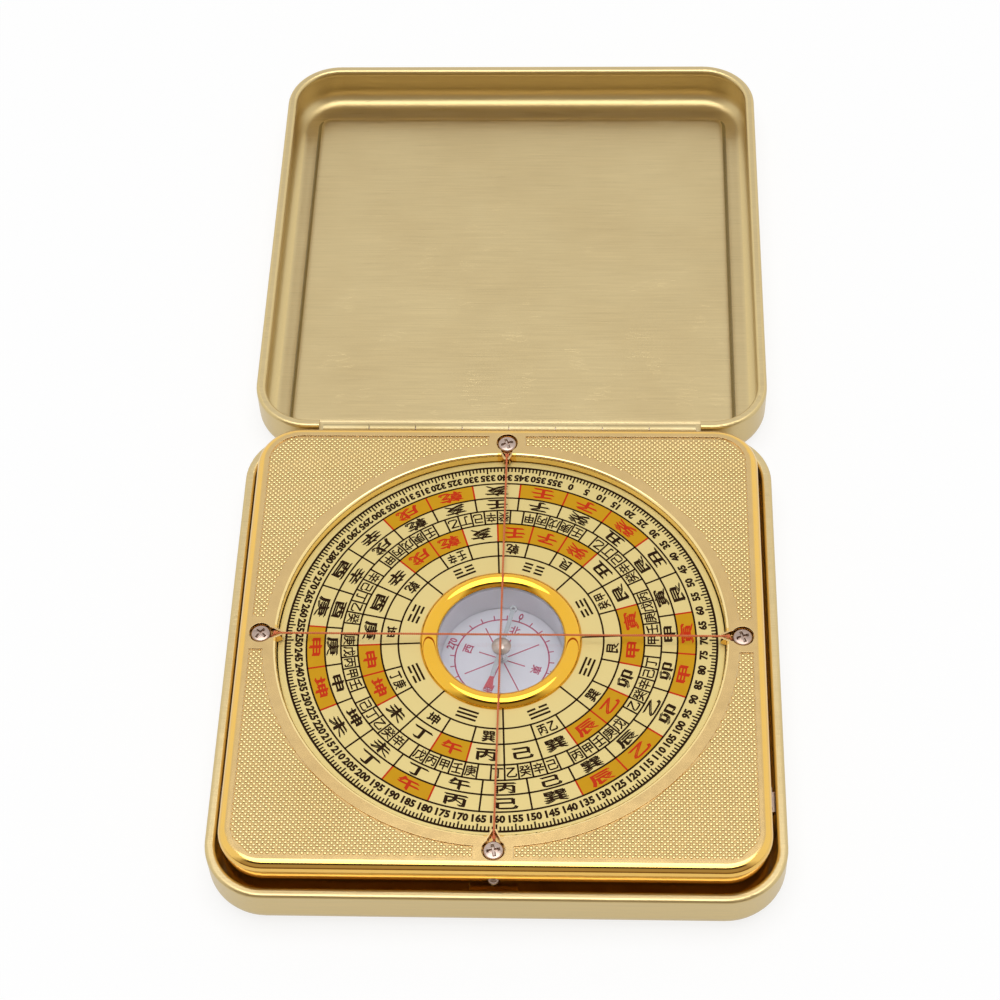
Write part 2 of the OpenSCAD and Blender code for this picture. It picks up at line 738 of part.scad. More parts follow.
// Half of a thread, along +X: the loop under the screw, the way out, the rise, the knot and the run
module thread_half(z) {
    loop_x = screw_r - loop_r;
    rise_x = screw_r - head_d / 2 - thread_d / 2;
    run_in = rise_x - knot_r;
    run_up = z - loop_z;
    translate([screw_r, 0, loop_z]) rotate_extrude($fn = 48)
        translate([loop_r, 0]) circle(d = thread_d, $fn = 24);
    translate([rise_x, 0, loop_z]) rotate([0, 90, 0])
        cylinder(d = thread_d, h = loop_x - rise_x, $fn = 24);
    translate([rise_x, 0, loop_z]) {
        sphere(d = thread_d, $fn = 24);
        rotate([0, -atan2(run_in, run_up), 0])
            cylinder(d = thread_d, h = norm([run_in, run_up]), $fn = 24);
    }
    translate([knot_r, 0, z]) sphere(d = knot_d, $fn = 24);
    translate([0, 0, z]) rotate([0, 90, 0]) cylinder(d = thread_d, h = knot_r, $fn = 24);
}

module crosshair_ns() {
    color(thread_colour) for (turn = [90, 270]) rotate([0, 0, turn]) thread_half(thread_ns_z);
}

module crosshair_ew() {
    color(thread_colour) for (turn = [0, 180]) rotate([0, 0, turn]) thread_half(thread_ew_z);
}

// Dial

module dial_plate() {
    color(dial_colour) ring(dial_d / 2, spigot_bore_r, dial_z - plate_t, plate_t);
}

// Moulded disc with the spigot that turns in the journal, and the web that the capsule stands on
module dial_carrier() {
    groove_r = spigot_r - clip_groove;
    color(base_colour) difference() {
        union() {
            translate([0, 0, carrier_z]) cylinder(r = carrier_r, h = carrier_t);
            translate([0, 0, spigot_z]) cylinder(r = spigot_r, h = carrier_z + carrier_t - spigot_z);
        }
        translate([0, 0, cup_z]) cylinder(r = spigot_bore_r, h = top_z);
        translate([0, 0, spigot_z - 1]) cylinder(d = web_hole_d, h = top_z);
        translate([0, 0, spigot_z - 1])
            cylinder(r = spigot_bore_r, h = cup_z - web_t - spigot_z + 1);
        ring(clip_r, groove_r, clip_z - clip_play / 2, clip_t + clip_play);
    }
}

// Open spring ring under the journal, which keeps the dial from lifting out.
// Its mouth faces the south mark of the dial.
module carrier_clip() {
    mouth_turn = -90 - dial_heading + clip_mouth / 2;
    color(steel_colour) translate([0, 0, clip_z]) rotate([0, 0, mouth_turn])
        rotate_extrude(angle = 360 - clip_mouth)
            translate([spigot_r - clip_groove + capsule_clearance, 0])
                square([clip_reach + clip_groove - capsule_clearance, clip_t]);
}

// Capsule

module capsule_cup() {
    color(cup_colour) difference() {
        translate([0, 0, cup_z]) cylinder(r = cup_r, h = cup_top - cup_z);
        translate([0, 0, cup_z + cup_floor]) cylinder(d = cup_d, h = top_z);
        translate([0, 0, cup_z - 1])
            cylinder(r = pivot_d / 2 + capsule_clearance, h = cup_floor + 2, $fn = 48);
    }
}

module compass_card() {
    color(card_colour) ring(cup_d / 2 - card_gap, pivot_d / 2 + capsule_clearance,
        card_z - card_t, card_t);
}

module lens_gasket() {
    color(rubber_colour) ring(cup_r - capsule_clearance, cup_d / 2 + capsule_clearance,
        cup_top, gasket_t);
}

module lens() {
    color(glass_colour) translate([0, 0, lens_z])
        cylinder(r = cup_r - capsule_clearance, h = lens_t);
}

// Section through the bezel: skirt, flange on the dial, rounded edge and slope to the window
module bezel_section() {
    pocket_r = cup_r + capsule_clearance;
    lip_z = lens_z + lens_t;
    edge_x = bezel_r - bezel_edge_r;
    edge_z = bezel_top - bezel_edge_r;
    difference() {
        union() {
            translate([pocket_r, dial_z - skirt_drop]) square([skirt_t, skirt_drop + bezel_rise]);
            translate([pocket_r, dial_z]) square([edge_x - pocket_r, bezel_rise]);
            translate([edge_x, dial_z]) square([bezel_edge_r, bezel_rise - bezel_edge_r]);
            intersection() {
                translate([edge_x, edge_z]) circle(bezel_edge_r, $fn = 48);
                translate([edge_x, edge_z]) square(bezel_edge_r);
            }
            translate([window_r, lip_z])
                square([pocket_r - window_r, bezel_top - lip_z]);
        }
        translate([window_r, lip_z + bezel_lip_t]) polygon([
            [-1, 0], [0, 0], [bezel_slope, bezel_top - lip_z - bezel_lip_t],
            [bezel_slope, 1], [-1, 1],
        ]);
    }
}

module bezel_ring() {
    color(bezel_colour) rotate_extrude() bezel_section();
}

// The spike that the needle turns on, set in the cup's floor
module pivot_pin() {
    shoulder_z = point_z - point_l;
    color(bezel_colour) {
        translate([0, 0, cup_z]) cylinder(d = pivot_d, h = shoulder_z - cup_z, $fn = 48);
        translate([0, 0, card_z]) cylinder(d = collar_d, h = collar_t, $fn = 48);
        translate([0, 0, shoulder_z])
            cylinder(d1 = pivot_d, d2 = point_d, h = point_l, $fn = 48);
    }
}

// Needle

// Flat blade with a ring at its tail and a notched, widening end at its pointer
module needle_blade() {
    blade_start = (cap_d + jewel_d) / 4 + capsule_clearance;
    ring_y = tail_l - tail_ring_d / 2;
    swallow_y = -tip_l + swallow_l;
    ring_joint = (tail_ring_d + tail_hole_d) / 4;
    color(steel_colour) rotate([0, 0, -needle_heading])
        translate([0, 0, needle_z - blade_t / 2]) linear_extrude(blade_t) {
            difference() {
                circle(cap_d / 2, $fn = 64);
                circle(jewel_d / 2 + capsule_clearance, $fn = 48);
            }
            translate([-blade_w / 2, blade_start])
                square([blade_w, ring_y - ring_joint - blade_start]);
            translate([0, ring_y]) difference() {
                circle(d = tail_ring_d, $fn = 48);
                circle(d = tail_hole_d, $fn = 48);
            }
            translate([-blade_w / 2, swallow_y - lap])
                square([blade_w, lap - swallow_y - blade_start]);
            polygon([
                [-blade_w / 2, swallow_y], [-swallow_w / 2, -tip_l],
                [0, -tip_l + swallow_notch], [swallow_w / 2, -tip_l],
                [blade_w / 2, swallow_y],
            ]);
        }
}

// Domed brass cap on the blade, around the jewel
module needle_cap() {
    cap_z = needle_z + blade_t / 2;
    dome_h = cap_h - cap_rim_t;
    dome_r = (cap_d * cap_d / 4 + dome_h * dome_h) / (2 * dome_h);
    color(bezel_colour) difference() {
        union() {
            translate([0, 0, cap_z]) cylinder(d = cap_d, h = cap_rim_t, $fn = 64);
            intersection() {
                translate([0, 0, cap_z + cap_h - dome_r]) sphere(r = dome_r);
                translate([0, 0, cap_z]) cylinder(d = cap_d, h = cap_h, $fn = 64);
            }
        }
        translate([0, 0, cap_z - 1])
            cylinder(r = jewel_d / 2 + capsule_clearance, h = 1 + jewel_h - blade_t, $fn = 48);
    }
}

// Bearing cup for the pivot's point, open below
module needle_jewel() {
    jewel_z = needle_z - blade_t / 2;
    seat_h = point_z + pivot_gap - jewel_z;
    color(jewel_colour) difference() {
        translate([0, 0, jewel_z])
            cylinder(d = jewel_d, h = jewel_h - capsule_clearance, $fn = 48);
        translate([0, 0, jewel_z - seat_h])
            cylinder(r1 = pivot_d / 2 + 4 * pivot_gap, r2 = point_d / 2 + pivot_gap,
                h = 2 * seat_h, $fn = 48);
    }
}

tray_shell();
lid_shell();
hinge_leaf_tray();
hinge_leaf_lid();
hinge_pin();
housing_frame();
housing_base();
side_clips();
catch_nub();
glide_ring();
thread_screws();
crosshair_ns();
crosshair_ew();
dial_plate();
dial_carrier();
carrier_clip();
capsule_cup();
compass_card();
lens_gasket();
lens();
bezel_ring();
pivot_pin();
needle_blade();
needle_cap();
needle_jewel();
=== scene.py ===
"""The looks of a pocket feng shui compass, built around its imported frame.

The sections follow the instrument as it is put together. Sizes are written in
millimetres, in the frame of the solids, and become metres where a mesh is made.
"""
import math

import bmesh
import bpy
from mathutils import Matrix, Vector


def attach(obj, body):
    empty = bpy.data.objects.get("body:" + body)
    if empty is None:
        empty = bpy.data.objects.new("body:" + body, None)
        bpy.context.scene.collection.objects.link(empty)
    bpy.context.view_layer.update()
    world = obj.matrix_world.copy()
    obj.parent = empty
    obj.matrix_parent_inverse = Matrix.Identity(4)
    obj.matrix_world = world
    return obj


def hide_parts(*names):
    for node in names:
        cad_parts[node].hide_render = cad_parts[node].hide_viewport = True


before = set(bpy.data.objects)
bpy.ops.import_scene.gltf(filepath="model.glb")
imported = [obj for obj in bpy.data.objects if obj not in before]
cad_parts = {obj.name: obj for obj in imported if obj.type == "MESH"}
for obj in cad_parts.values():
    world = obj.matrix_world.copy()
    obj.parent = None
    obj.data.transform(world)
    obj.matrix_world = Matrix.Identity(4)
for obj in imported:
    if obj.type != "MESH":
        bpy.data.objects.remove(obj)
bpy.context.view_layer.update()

# Camera. It stands over the near edge, a long lens on a level-headed tripod that
# leans a little to the left, where the fit to the case's edges and screws put it.
MM = 0.001
camera_place = Vector((16.44, -216.79, 347.47)) * MM
pitch, yaw, roll = (math.radians(a) for a in (53.707, -4.062, -2.97))
look = Vector((math.sin(yaw) * math.cos(pitch), math.cos(yaw) * math.cos(pitch), -math.sin(pitch)))
side = Vector((math.cos(yaw), -math.sin(yaw), 0))
lift = side.cross(look)
side, lift = (side * math.cos(roll) + lift * math.sin(roll),
              lift * math.cos(roll) - side * math.sin(roll))
camera_data = bpy.data.cameras.new("camera")
camera_data.lens = 87.0
camera_data.sensor_width = 36.0
camera_data.clip_start = 0.01
camera = bpy.data.objects.new("camera", camera_data)
camera.matrix_world = (Matrix.Translation(camera_place)
                       @ Matrix((side, lift, -look)).transposed().to_4x4())
bpy.context.scene.collection.objects.link(camera)
bpy.context.scene.camera = camera
bpy.context.scene.view_settings.view_transform = "Standard"


# Studio. A white tent over a white table, with one wide soft lamp above. The camera
# sees plain white. The mirror finishes see the tent's open front as well: a dark warm
# room behind the camera, and the near edge of the white sheet that covers the table.
def paint(red, green, blue):
    """A colour as it is read off a print, 0 to 255, for a shader's socket."""
    flat = []
    for part in (red, green, blue):
        part /= 255
        flat.append(part / 12.92 if part <= 0.04045 else ((part + 0.055) / 1.055) ** 2.4)
    return (*flat, 1.0)


def node(tree, kind, inputs=None, **settings):
    """Adds a node; each input is a value, or a socket or node that is linked to it."""
    made = tree.nodes.new(kind)
    for key, value in settings.items():
        setattr(made, key, value)
    for key, value in (inputs or {}).items():
        if isinstance(value, bpy.types.Node):
            value = value.outputs[0]
        if isinstance(value, bpy.types.NodeSocket):
            tree.links.new(value, made.inputs[key])
        else:
            made.inputs[key].default_value = value
    return made


def math_node(tree, operation, first, second=0.0):
    return node(tree, "ShaderNodeMath", {0: first, 1: second}, operation=operation)


def seen_straight(tree, path):
    """1 for camera, glossy and transmission rays, 0 for the light that falls on things."""
    both = math_node(tree, "MAXIMUM", path.outputs["Is Camera Ray"], path.outputs["Is Glossy Ray"])
    return math_node(tree, "MAXIMUM", both, path.outputs["Is Transmission Ray"])


def ramp(tree, factor, stops):
    """A colour ramp; each stop is a place from 0 to 1, its red, green and blue."""
    made = node(tree, "ShaderNodeValToRGB", {0: factor})
    while len(made.color_ramp.elements) < len(stops):
        made.color_ramp.elements.new(1.0)
    for stop, (spot, *tone) in zip(made.color_ramp.elements, stops):
        stop.position = spot
        stop.color = (*tone, 1.0)
    return made


world = bpy.data.worlds.new("studio")
bpy.context.scene.world = world
world.use_nodes = True
sky = world.node_tree
sky.nodes.clear()
path = node(sky, "ShaderNodeLightPath")
straight = seen_straight(sky, path)
ray = node(sky, "ShaderNodeTexCoord").outputs["Generated"]
height = node(sky, "ShaderNodeSeparateXYZ", {0: ray}).outputs["Z"]
level = node(sky, "ShaderNodeVectorMath", {0: ray, 1: (1.0, 1.0, 0.0)}, operation="MULTIPLY")
heading = node(sky, "ShaderNodeSeparateXYZ", {0: node(
    sky, "ShaderNodeVectorMath", {0: level}, operation="NORMALIZE")})
opened = node(sky, "ShaderNodeMapRange", {0: heading.outputs["Y"], 1: -0.4, 2: -0.7})
room = ramp(sky, height, [
    (0.0, 0.16, 0.1, 0.05), (0.13, 0.2, 0.13, 0.06), (0.2, 0.42, 0.35, 0.28),
    (0.6, 0.44, 0.38, 0.31), (0.7, 0.42, 0.36, 0.28), (0.76, 0.05, 0.04, 0.03),
    (0.9, 0.05, 0.04, 0.03), (0.93, 1.0, 1.0, 1.0)])
tent = node(sky, "ShaderNodeMixRGB", {"Fac": opened, "Color1": (1, 1, 1, 1), "Color2": room})
mirrored = node(sky, "ShaderNodeMixRGB", {
    "Fac": path.outputs["Is Glossy Ray"], "Color1": (1, 1, 1, 1), "Color2": tent})
strength = node(sky, "ShaderNodeMapRange", {0: straight, 3: 0.42, 4: 1.0})
background = node(sky, "ShaderNodeBackground", {
    "Color": mirrored, "Strength": strength.outputs[0]})
node(sky, "ShaderNodeOutputWorld", {"Surface": background})

lamp_data = bpy.data.lights.new("soft_lamp", "AREA")
lamp_data.shape = "DISK"
lamp_data.size = 1.3
lamp_data.energy = 10.8
lamp = bpy.data.objects.new("soft_lamp", lamp_data)
lamp.location = (0.0, -0.02, 1.5)
bpy.context.scene.collection.objects.link(lamp)

table_mesh = bpy.data.meshes.new("table_top")
table_mesh.from_pydata([(-6, -6, -3e-5), (6, -6, -3e-5), (6, 6, -3e-5), (-6, 6, -3e-5)], [],
                       [(0, 1, 2, 3)])
table_top = bpy.data.objects.new("table_top", table_mesh)
bpy.context.scene.collection.objects.link(table_top)
paper = bpy.data.materials.new("white_table")
paper.use_nodes = True
tree = paper.node_tree
tree.nodes.clear()
path = node(tree, "ShaderNodeLightPath")
straight = seen_straight(tree, path)
away = node(tree, "ShaderNodeSeparateXYZ", {0: node(tree, "ShaderNodeTexCoord").outputs["Object"]})
beyond = node(tree, "ShaderNodeMapRange", {0: away.outputs["Y"], 1: -0.1, 2: -0.16})
uncovered = math_node(tree, "MULTIPLY", beyond, path.outputs["Is Glossy Ray"])
cover = node(tree, "ShaderNodeMixRGB", {
    "Fac": uncovered, "Color1": (1, 1, 1, 1), "Color2": (0.2, 0.13, 0.06, 1)})
lit = node(tree, "ShaderNodeBsdfDiffuse", {"Color": (0.9, 0.9, 0.9, 1)})
glow = node(tree, "ShaderNodeEmission", {"Color": cover, "Strength": 1.08})
mirror_share = node(tree, "ShaderNodeMapRange", {0: uncovered, 3: 0.5, 4: 1.0})
share = node(tree, "ShaderNodeMixRGB", {
    "Fac": path.outputs["Is Glossy Ray"], "Color1": (0.74, 0.74, 0.74, 1),
    "Color2": mirror_share})
shown = math_node(tree, "MULTIPLY", straight, share)
node(tree, "ShaderNodeOutputMaterial", {"Surface": node(
    tree, "ShaderNodeMixShader", {0: shown, 1: lit, 2: glow})})
table_mesh.materials.append(paper)


# Case: tray and lid, two shells stamped from 0.7 mm brass sheet, rims hemmed over.
# They are brushed along the hinge and coated with a pale gold lacquer, and both
# stand on the flat panel stamped into them.
def metal(name, tone, shade, roughness, grain=(0, 0, 0), depth=0.0, mottle=0.03,
          edge=0.00008, lacquer=0.0, scratches=0.0, wall=None, rim=None, crease=None,
          soft=None):
    """A plated or lacquered metal: its tone wanders to a shade, its grain is a fine relief,
    thin scratches cross it, and its edges are eased and rubbed brighter. A wall's roughness
    and a tone painted on it as reflection take over where the surface leaves the level. A rim
    is a round opening, with the radius and height at which its turned edge starts, and a tone
    painted on it as a highlight. A crease paints shade dark on the slopes inside a box, given
    by its middle and half its size, on both sides. Stamped bends up to a height are rounder:
    soft is their radius and it."""
    finish = bpy.data.materials.new(name)
    finish.use_nodes = True
    tree = finish.node_tree
    tree.nodes.clear()
    place = node(tree, "ShaderNodeTexCoord").outputs["Object"]
    eased = node(tree, "ShaderNodeBevel", {"Radius": edge}, samples=4)
    if soft:
        wide = node(tree, "ShaderNodeBevel", {"Radius": soft[0]}, samples=8)
        level = node(tree, "ShaderNodeSeparateXYZ", {0: place})
        eased = node(tree, "ShaderNodeMixRGB", {
            "Fac": math_node(tree, "LESS_THAN", level.outputs["Z"], soft[1]),
            "Color1": eased, "Color2": wide})
    flat = node(tree, "ShaderNodeNewGeometry").outputs["Normal"]
    if rim:
        rim_r, rim_z, painted_rim_highlight = rim
        split = node(tree, "ShaderNodeSeparateXYZ", {0: place})
        level = node(tree, "ShaderNodeVectorMath", {0: place, 1: (1.0, 1.0, 0.0)},
                     operation="MULTIPLY")
        outward = node(tree, "ShaderNodeVectorMath", {0: level}, operation="NORMALIZE")
        reach = node(tree, "ShaderNodeVectorMath", {0: level}, operation="LENGTH")
        foot = node(tree, "ShaderNodeCombineXYZ", {
            "Z": math_node(tree, "MINIMUM", split.outputs["Z"], rim_z)})
        centre = node(tree, "ShaderNodeVectorMath", {
            0: outward, 1: (rim_r, rim_r, rim_r), 2: foot}, operation="MULTIPLY_ADD")
        spread = node(tree, "ShaderNodeVectorMath", {0: place, 1: centre}, operation="SUBTRACT")
        turned = node(tree, "ShaderNodeVectorMath", {0: spread}, operation="NORMALIZE")
        aside = math_node(tree, "MINIMUM", math_node(tree, "ABSOLUTE", split.outputs["X"]),
                          math_node(tree, "ABSOLUTE", split.outputs["Y"]))
        on_rim = math_node(
            tree, "MULTIPLY", math_node(tree, "GREATER_THAN", aside, 1.6 * MM),
            math_node(tree, "LESS_THAN", reach.outputs["Value"], rim_r))
        eased = node(tree, "ShaderNodeMixRGB", {
            "Fac": on_rim, "Color1": eased, "Color2": turned})
    along = node(tree, "ShaderNodeVectorMath", {0: eased, 1: flat}, operation="DOT_PRODUCT")
    rubbed = node(tree, "ShaderNodeMapRange", {
        0: along.outputs["Value"], 1: 0.995, 2: 0.8, 3: 0.0, 4: 0.35})
    cloud = node(tree, "ShaderNodeTexNoise", {"Vector": place, "Scale": 55.0, "Detail": 4.0})
    drift = node(tree, "ShaderNodeMapRange", {0: cloud.outputs[0], 1: 0.35, 2: 0.7})
    toned = node(tree, "ShaderNodeMixRGB", {"Fac": drift, "Color1": tone, "Color2": shade})
    painted_wall_reflection, wall_roughness = wall or (tone, roughness)
    upright = node(tree, "ShaderNodeSeparateXYZ", {
        0: node(tree, "ShaderNodeTexCoord").outputs["Normal"]})
    steep = node(tree, "ShaderNodeMapRange", {
        0: math_node(tree, "ABSOLUTE", upright.outputs["Z"]), 1: 0.999, 2: 0.97})
    # Painted reflection: walls take their own tone by how steep they are.
    toned = node(tree, "ShaderNodeMixRGB", {
        "Fac": steep if wall else 0.0, "Color1": toned, "Color2": painted_wall_reflection})
    # Painted highlight: the turned edge of the opening takes a paler tone.
    if rim:
        toned = node(tree, "ShaderNodeMixRGB", {
            "Fac": on_rim, "Color1": toned, "Color2": painted_rim_highlight})
    # Painted shade: slopes inside the crease box are darkened.
    if crease:
        middle, half, painted_crease_shade = crease
        either = node(tree, "ShaderNodeVectorMath", {0: place}, operation="ABSOLUTE")
        off = node(tree, "ShaderNodeVectorMath", {0: either, 1: middle}, operation="SUBTRACT")
        off = node(tree, "ShaderNodeVectorMath", {0: off}, operation="ABSOLUTE")
        room_left = node(tree, "ShaderNodeSeparateXYZ", {0: node(
            tree, "ShaderNodeVectorMath", {0: half, 1: off}, operation="SUBTRACT")})
        least = math_node(tree, "MINIMUM", room_left.outputs["X"], math_node(
            tree, "MINIMUM", room_left.outputs["Y"], room_left.outputs["Z"]))
        inside = math_node(tree, "GREATER_THAN", least, 0.0)
        toned = node(tree, "ShaderNodeMixRGB", {
            "Fac": math_node(tree, "MULTIPLY", inside, steep), "Color1": toned,
            "Color2": painted_crease_shade})
    bright = node(tree, "ShaderNodeMixRGB", {
        "Fac": rubbed, "Color1": toned, "Color2": (1.0, 0.93, 0.72, 1)})
    stretch = node(tree, "ShaderNodeVectorMath", {0: place, 1: grain}, operation="MULTIPLY")
    streak = node(tree, "ShaderNodeTexNoise", {"Vector": stretch, "Scale": 1.0, "Detail": 5.0,
                                               "Roughness": 0.65})
    lines = node(tree, "ShaderNodeMapRange", {
        0: streak.outputs[0], 1: 0.3, 2: 0.7, 3: 1 - mottle, 4: 1 + mottle})
    coloured = node(tree, "ShaderNodeVectorMath", {0: bright, 1: lines}, operation="MULTIPLY")
    bent = node(tree, "ShaderNodeTexNoise", {"Vector": place, "Scale": 90.0, "Detail": 2.0})
    crossing = node(tree, "ShaderNodeVectorMath", {
        0: place, 1: (130.0, 900.0, 500.0)}, operation="MULTIPLY")
    wavy = node(tree, "ShaderNodeVectorMath", {
        0: bent.outputs[1], 1: (6.0, 6.0, 6.0), 2: crossing}, operation="MULTIPLY_ADD")
    cut = node(tree, "ShaderNodeTexVoronoi", {"Vector": wavy, "Scale": 1.0},
               feature="DISTANCE_TO_EDGE")
    thin = node(tree, "ShaderNodeMapRange", {0: cut.outputs[0], 1: 0.0, 2: 0.03, 3: 1.0, 4: 0.0})
    patch = node(tree, "ShaderNodeTexNoise", {"Vector": place, "Scale": 210.0, "Detail": 1.0})
    some = node(tree, "ShaderNodeMapRange", {0: patch.outputs[0], 1: 0.58, 2: 0.66})
    scratch = math_node(tree, "MULTIPLY", thin, some)
    scored = math_node(tree, "MULTIPLY", scratch, scratches)
    relief = math_node(tree, "SUBTRACT", streak.outputs[0], scored)
    bump = node(tree, "ShaderNodeBump", {
        "Strength": 1.0, "Distance": depth, "Height": relief, "Normal": eased})
    worn = node(tree, "ShaderNodeMapRange", {
        0: streak.outputs[0], 1: 0.25, 2: 0.75, 3: 0.8, 4: 1.25})
    gloss = node(tree, "ShaderNodeMapRange", {0: steep, 3: roughness, 4: wall_roughness})
    dull = math_node(tree, "MULTIPLY", worn, gloss)
    coat = node(tree, "ShaderNodeBsdfPrincipled", {
        "Base Color": coloured, "Metallic": 1.0, "Roughness": dull, "Normal": bump,
        "Coat Weight": lacquer, "Coat Roughness": 0.12})
    node(tree, "ShaderNodeOutputMaterial", {"Surface": coat})
    return finish


def dress(names, finish):
    """Gives CAD nodes their finish."""
    for name in names:
        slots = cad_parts[name].data.materials
        slots.clear()
        slots.append(finish)


case_brass = metal("case_brass", paint(199, 179, 133), paint(193, 172, 126), 0.32,
                   grain=(90.0, 6800.0, 6800.0), depth=0.000012, mottle=0.07, lacquer=0.25,
                   # The walls' lighter tone is painted reflection.
                   scratches=0.7, wall=(paint(212, 189, 134), 0.36),
                   # Painted shade along the step slopes at both sides of the lid.
                   crease=((40.45 * MM, 92.5 * MM, 0.95 * MM), (0.6 * MM, 39 * MM, 0.3 * MM),
                           paint(136, 120, 70)), soft=(1.6 * MM, 3.5 * MM))
dress(("tray_shell", "lid_shell"), case_brass)


# Hinge: two rolled brass leaves, brazed to the backs of the shells, with four
# knuckles each on one steel pin.
hinge_brass = metal("hinge_brass", paint(206, 190, 148), paint(190, 172, 126), 0.5,
                    grain=(2500.0, 300.0, 300.0), depth=0.000006, mottle=0.06)
bright_steel = metal("bright_steel", paint(196, 176, 164), paint(150, 128, 116), 0.24,
                     grain=(900.0, 900.0, 900.0), depth=0.00001, mottle=0.12)
dress(("hinge_leaf_tray", "hinge_leaf_lid"), hinge_brass)
dress(("hinge_pin",), bright_steel)


# Housing: one moulded frame, electroplated in gold. The rounded edge and the walls
# are mirror bright, the top is satin, and its four corner fields are studded. Its walls
# carry an amber painted reflection, and the opening's turned edge a pale painted highlight.
plated_gold = metal("plated_gold", paint(208, 177, 119), paint(203, 171, 112), 0.2,
                    grain=(420.0, 420.0, 420.0), depth=0.000006, mottle=0.02, edge=0.00012,
                    # The walls' amber tone is painted reflection.
                    lacquer=0.5, scratches=0.15, wall=(paint(240, 194, 96), 0.05),
                    # Painted highlight: the pale tone on the opening's turned edge.
                    rim=(37.45 * MM, 13.75 * MM, paint(248, 220, 150)))
dress(("housing_frame",), plated_gold)

field_floor = 13.95
field_x, field_y, field_corner = 41.35, 41.15, 5.4
field_arc, field_strip = 39.2, 3.15
stud_pitch, stud_margin = 0.9, 0.2


def in_field(x, y):
    """Whether a stud at x, y stands wholly on one of the four sunk fields."""
    x, y = abs(x), abs(y)
    if min(x, y) < field_strip + stud_margin or math.hypot(x, y) < field_arc + stud_margin:
        return False
    if x > field_x - stud_margin or y > field_y - stud_margin:
        return False
    over_x, over_y = x - (field_x - field_corner), y - (field_y - field_corner)
    return min(over_x, over_y) < 0 or math.hypot(over_x, over_y) < field_corner - stud_margin


def mesh_piece(name, points, faces, finish=None, edges=()):
    """A mesh object from points in millimetres."""
    mesh = bpy.data.meshes.new(name)
    mesh.from_pydata([Vector(p) * MM for p in points], edges, faces)
    if finish:
        mesh.materials.append(finish)
    piece = bpy.data.objects.new(name, mesh)
    bpy.context.scene.collection.objects.link(piece)
    return piece


def smooth(piece, angle=40):
    """Rounds the shading where faces meet at less than the angle."""
    mesh = piece.data
    mesh.shade_smooth()
    shape = bmesh.new()
    shape.from_mesh(mesh)
    for edge in shape.edges:
        sharp = edge.calc_face_angle(math.pi) > math.radians(angle)
        edge.smooth = not sharp
    shape.to_mesh(mesh)
    shape.free()
    return piece


def lathe(profile, steps):
    """Points and faces of a closed solid turned from (radius, height), from its foot's
    axis up to its top's axis."""
    points, faces = [(0, 0, profile[0][1])], []
    for radius, height in profile[1:-1]:
        for i in range(steps):
            turn = 2 * math.pi * i / steps
            points.append((radius * math.cos(turn), radius * math.sin(turn), height))
    points.append((0, 0, profile[-1][1]))
    rows = len(profile) - 2
    for i in range(steps):
        j = (i + 1) % steps
        faces.append((0, 1 + j, 1 + i))
        for row in range(rows - 1):
            low, high = 1 + row * steps, 1 + (row + 1) * steps
            faces.append((low + i, low + j, high + j, high + i))
        last = 1 + (rows - 1) * steps
        faces.append((last + i, last + j, len(points) - 1))
    return points, faces


def scatter_tree():
    """Sets one piece down on every point, turned about Z by the point's own turn."""
    tree = bpy.data.node_groups.new("scatter", "GeometryNodeTree")
    for label, kind in (("Points", "NodeSocketGeometry"), ("Piece", "NodeSocketObject"),
                        ("Size", "NodeSocketFloat"), ("Finish", "NodeSocketMaterial")):
        tree.interface.new_socket(name=label, in_out="INPUT", socket_type=kind)
    tree.interface.new_socket(name="Result", in_out="OUTPUT", socket_type="NodeSocketGeometry")
    given = node(tree, "NodeGroupInput")
    piece = node(tree, "GeometryNodeObjectInfo", {"Object": given.outputs["Piece"]})
    turn = node(tree, "GeometryNodeInputNamedAttribute", {"Name": "turn"}, data_type="FLOAT")
    upright = node(tree, "ShaderNodeCombineXYZ", {"Z": turn.outputs["Attribute"]})
    size = node(tree, "ShaderNodeCombineXYZ", {
        "X": given.outputs["Size"], "Y": given.outputs["Size"], "Z": given.outputs["Size"]})
    placed = node(tree, "GeometryNodeInstanceOnPoints", {
        "Points": given.outputs["Points"], "Instance": piece.outputs["Geometry"],
        "Rotation": upright, "Scale": size})
    real = node(tree, "GeometryNodeRealizeInstances", {"Geometry": placed})
    done = node(tree, "GeometryNodeSetMaterial", {
        "Geometry": real, "Material": given.outputs["Finish"]})
    node(tree, "NodeGroupOutput", {0: done})
    return tree


def grow(piece, tree, **values):
    """Runs a node tree on a piece, with its named inputs, and keeps the mesh it makes."""
    grower = piece.modifiers.new("grow", "NODES")
    grower.node_group = tree
    for item in tree.interface.items_tree:
        if item.in_out == "INPUT" and item.name in values:
            grower[item.identifier] = values[item.name]
    seen = piece.evaluated_get(bpy.context.evaluated_depsgraph_get())
    mesh = bpy.data.meshes.new_from_object(seen)
    piece.modifiers.remove(grower)
    piece.data = mesh
    mesh.name = piece.name
    return piece


def scatter(name, spots, piece, finish):
    """Copies of a piece, one at each (x, y, z, turn), as one mesh."""
    host = mesh_piece(name, [spot[:3] for spot in spots], [])
    turns = host.data.attributes.new("turn", "FLOAT", "POINT")
    for item, spot in zip(turns.data, spots):
        item.value = spot[3]
    grow(host, scatter_tree(), Piece=piece, Size=1.0, Finish=finish)
    return host


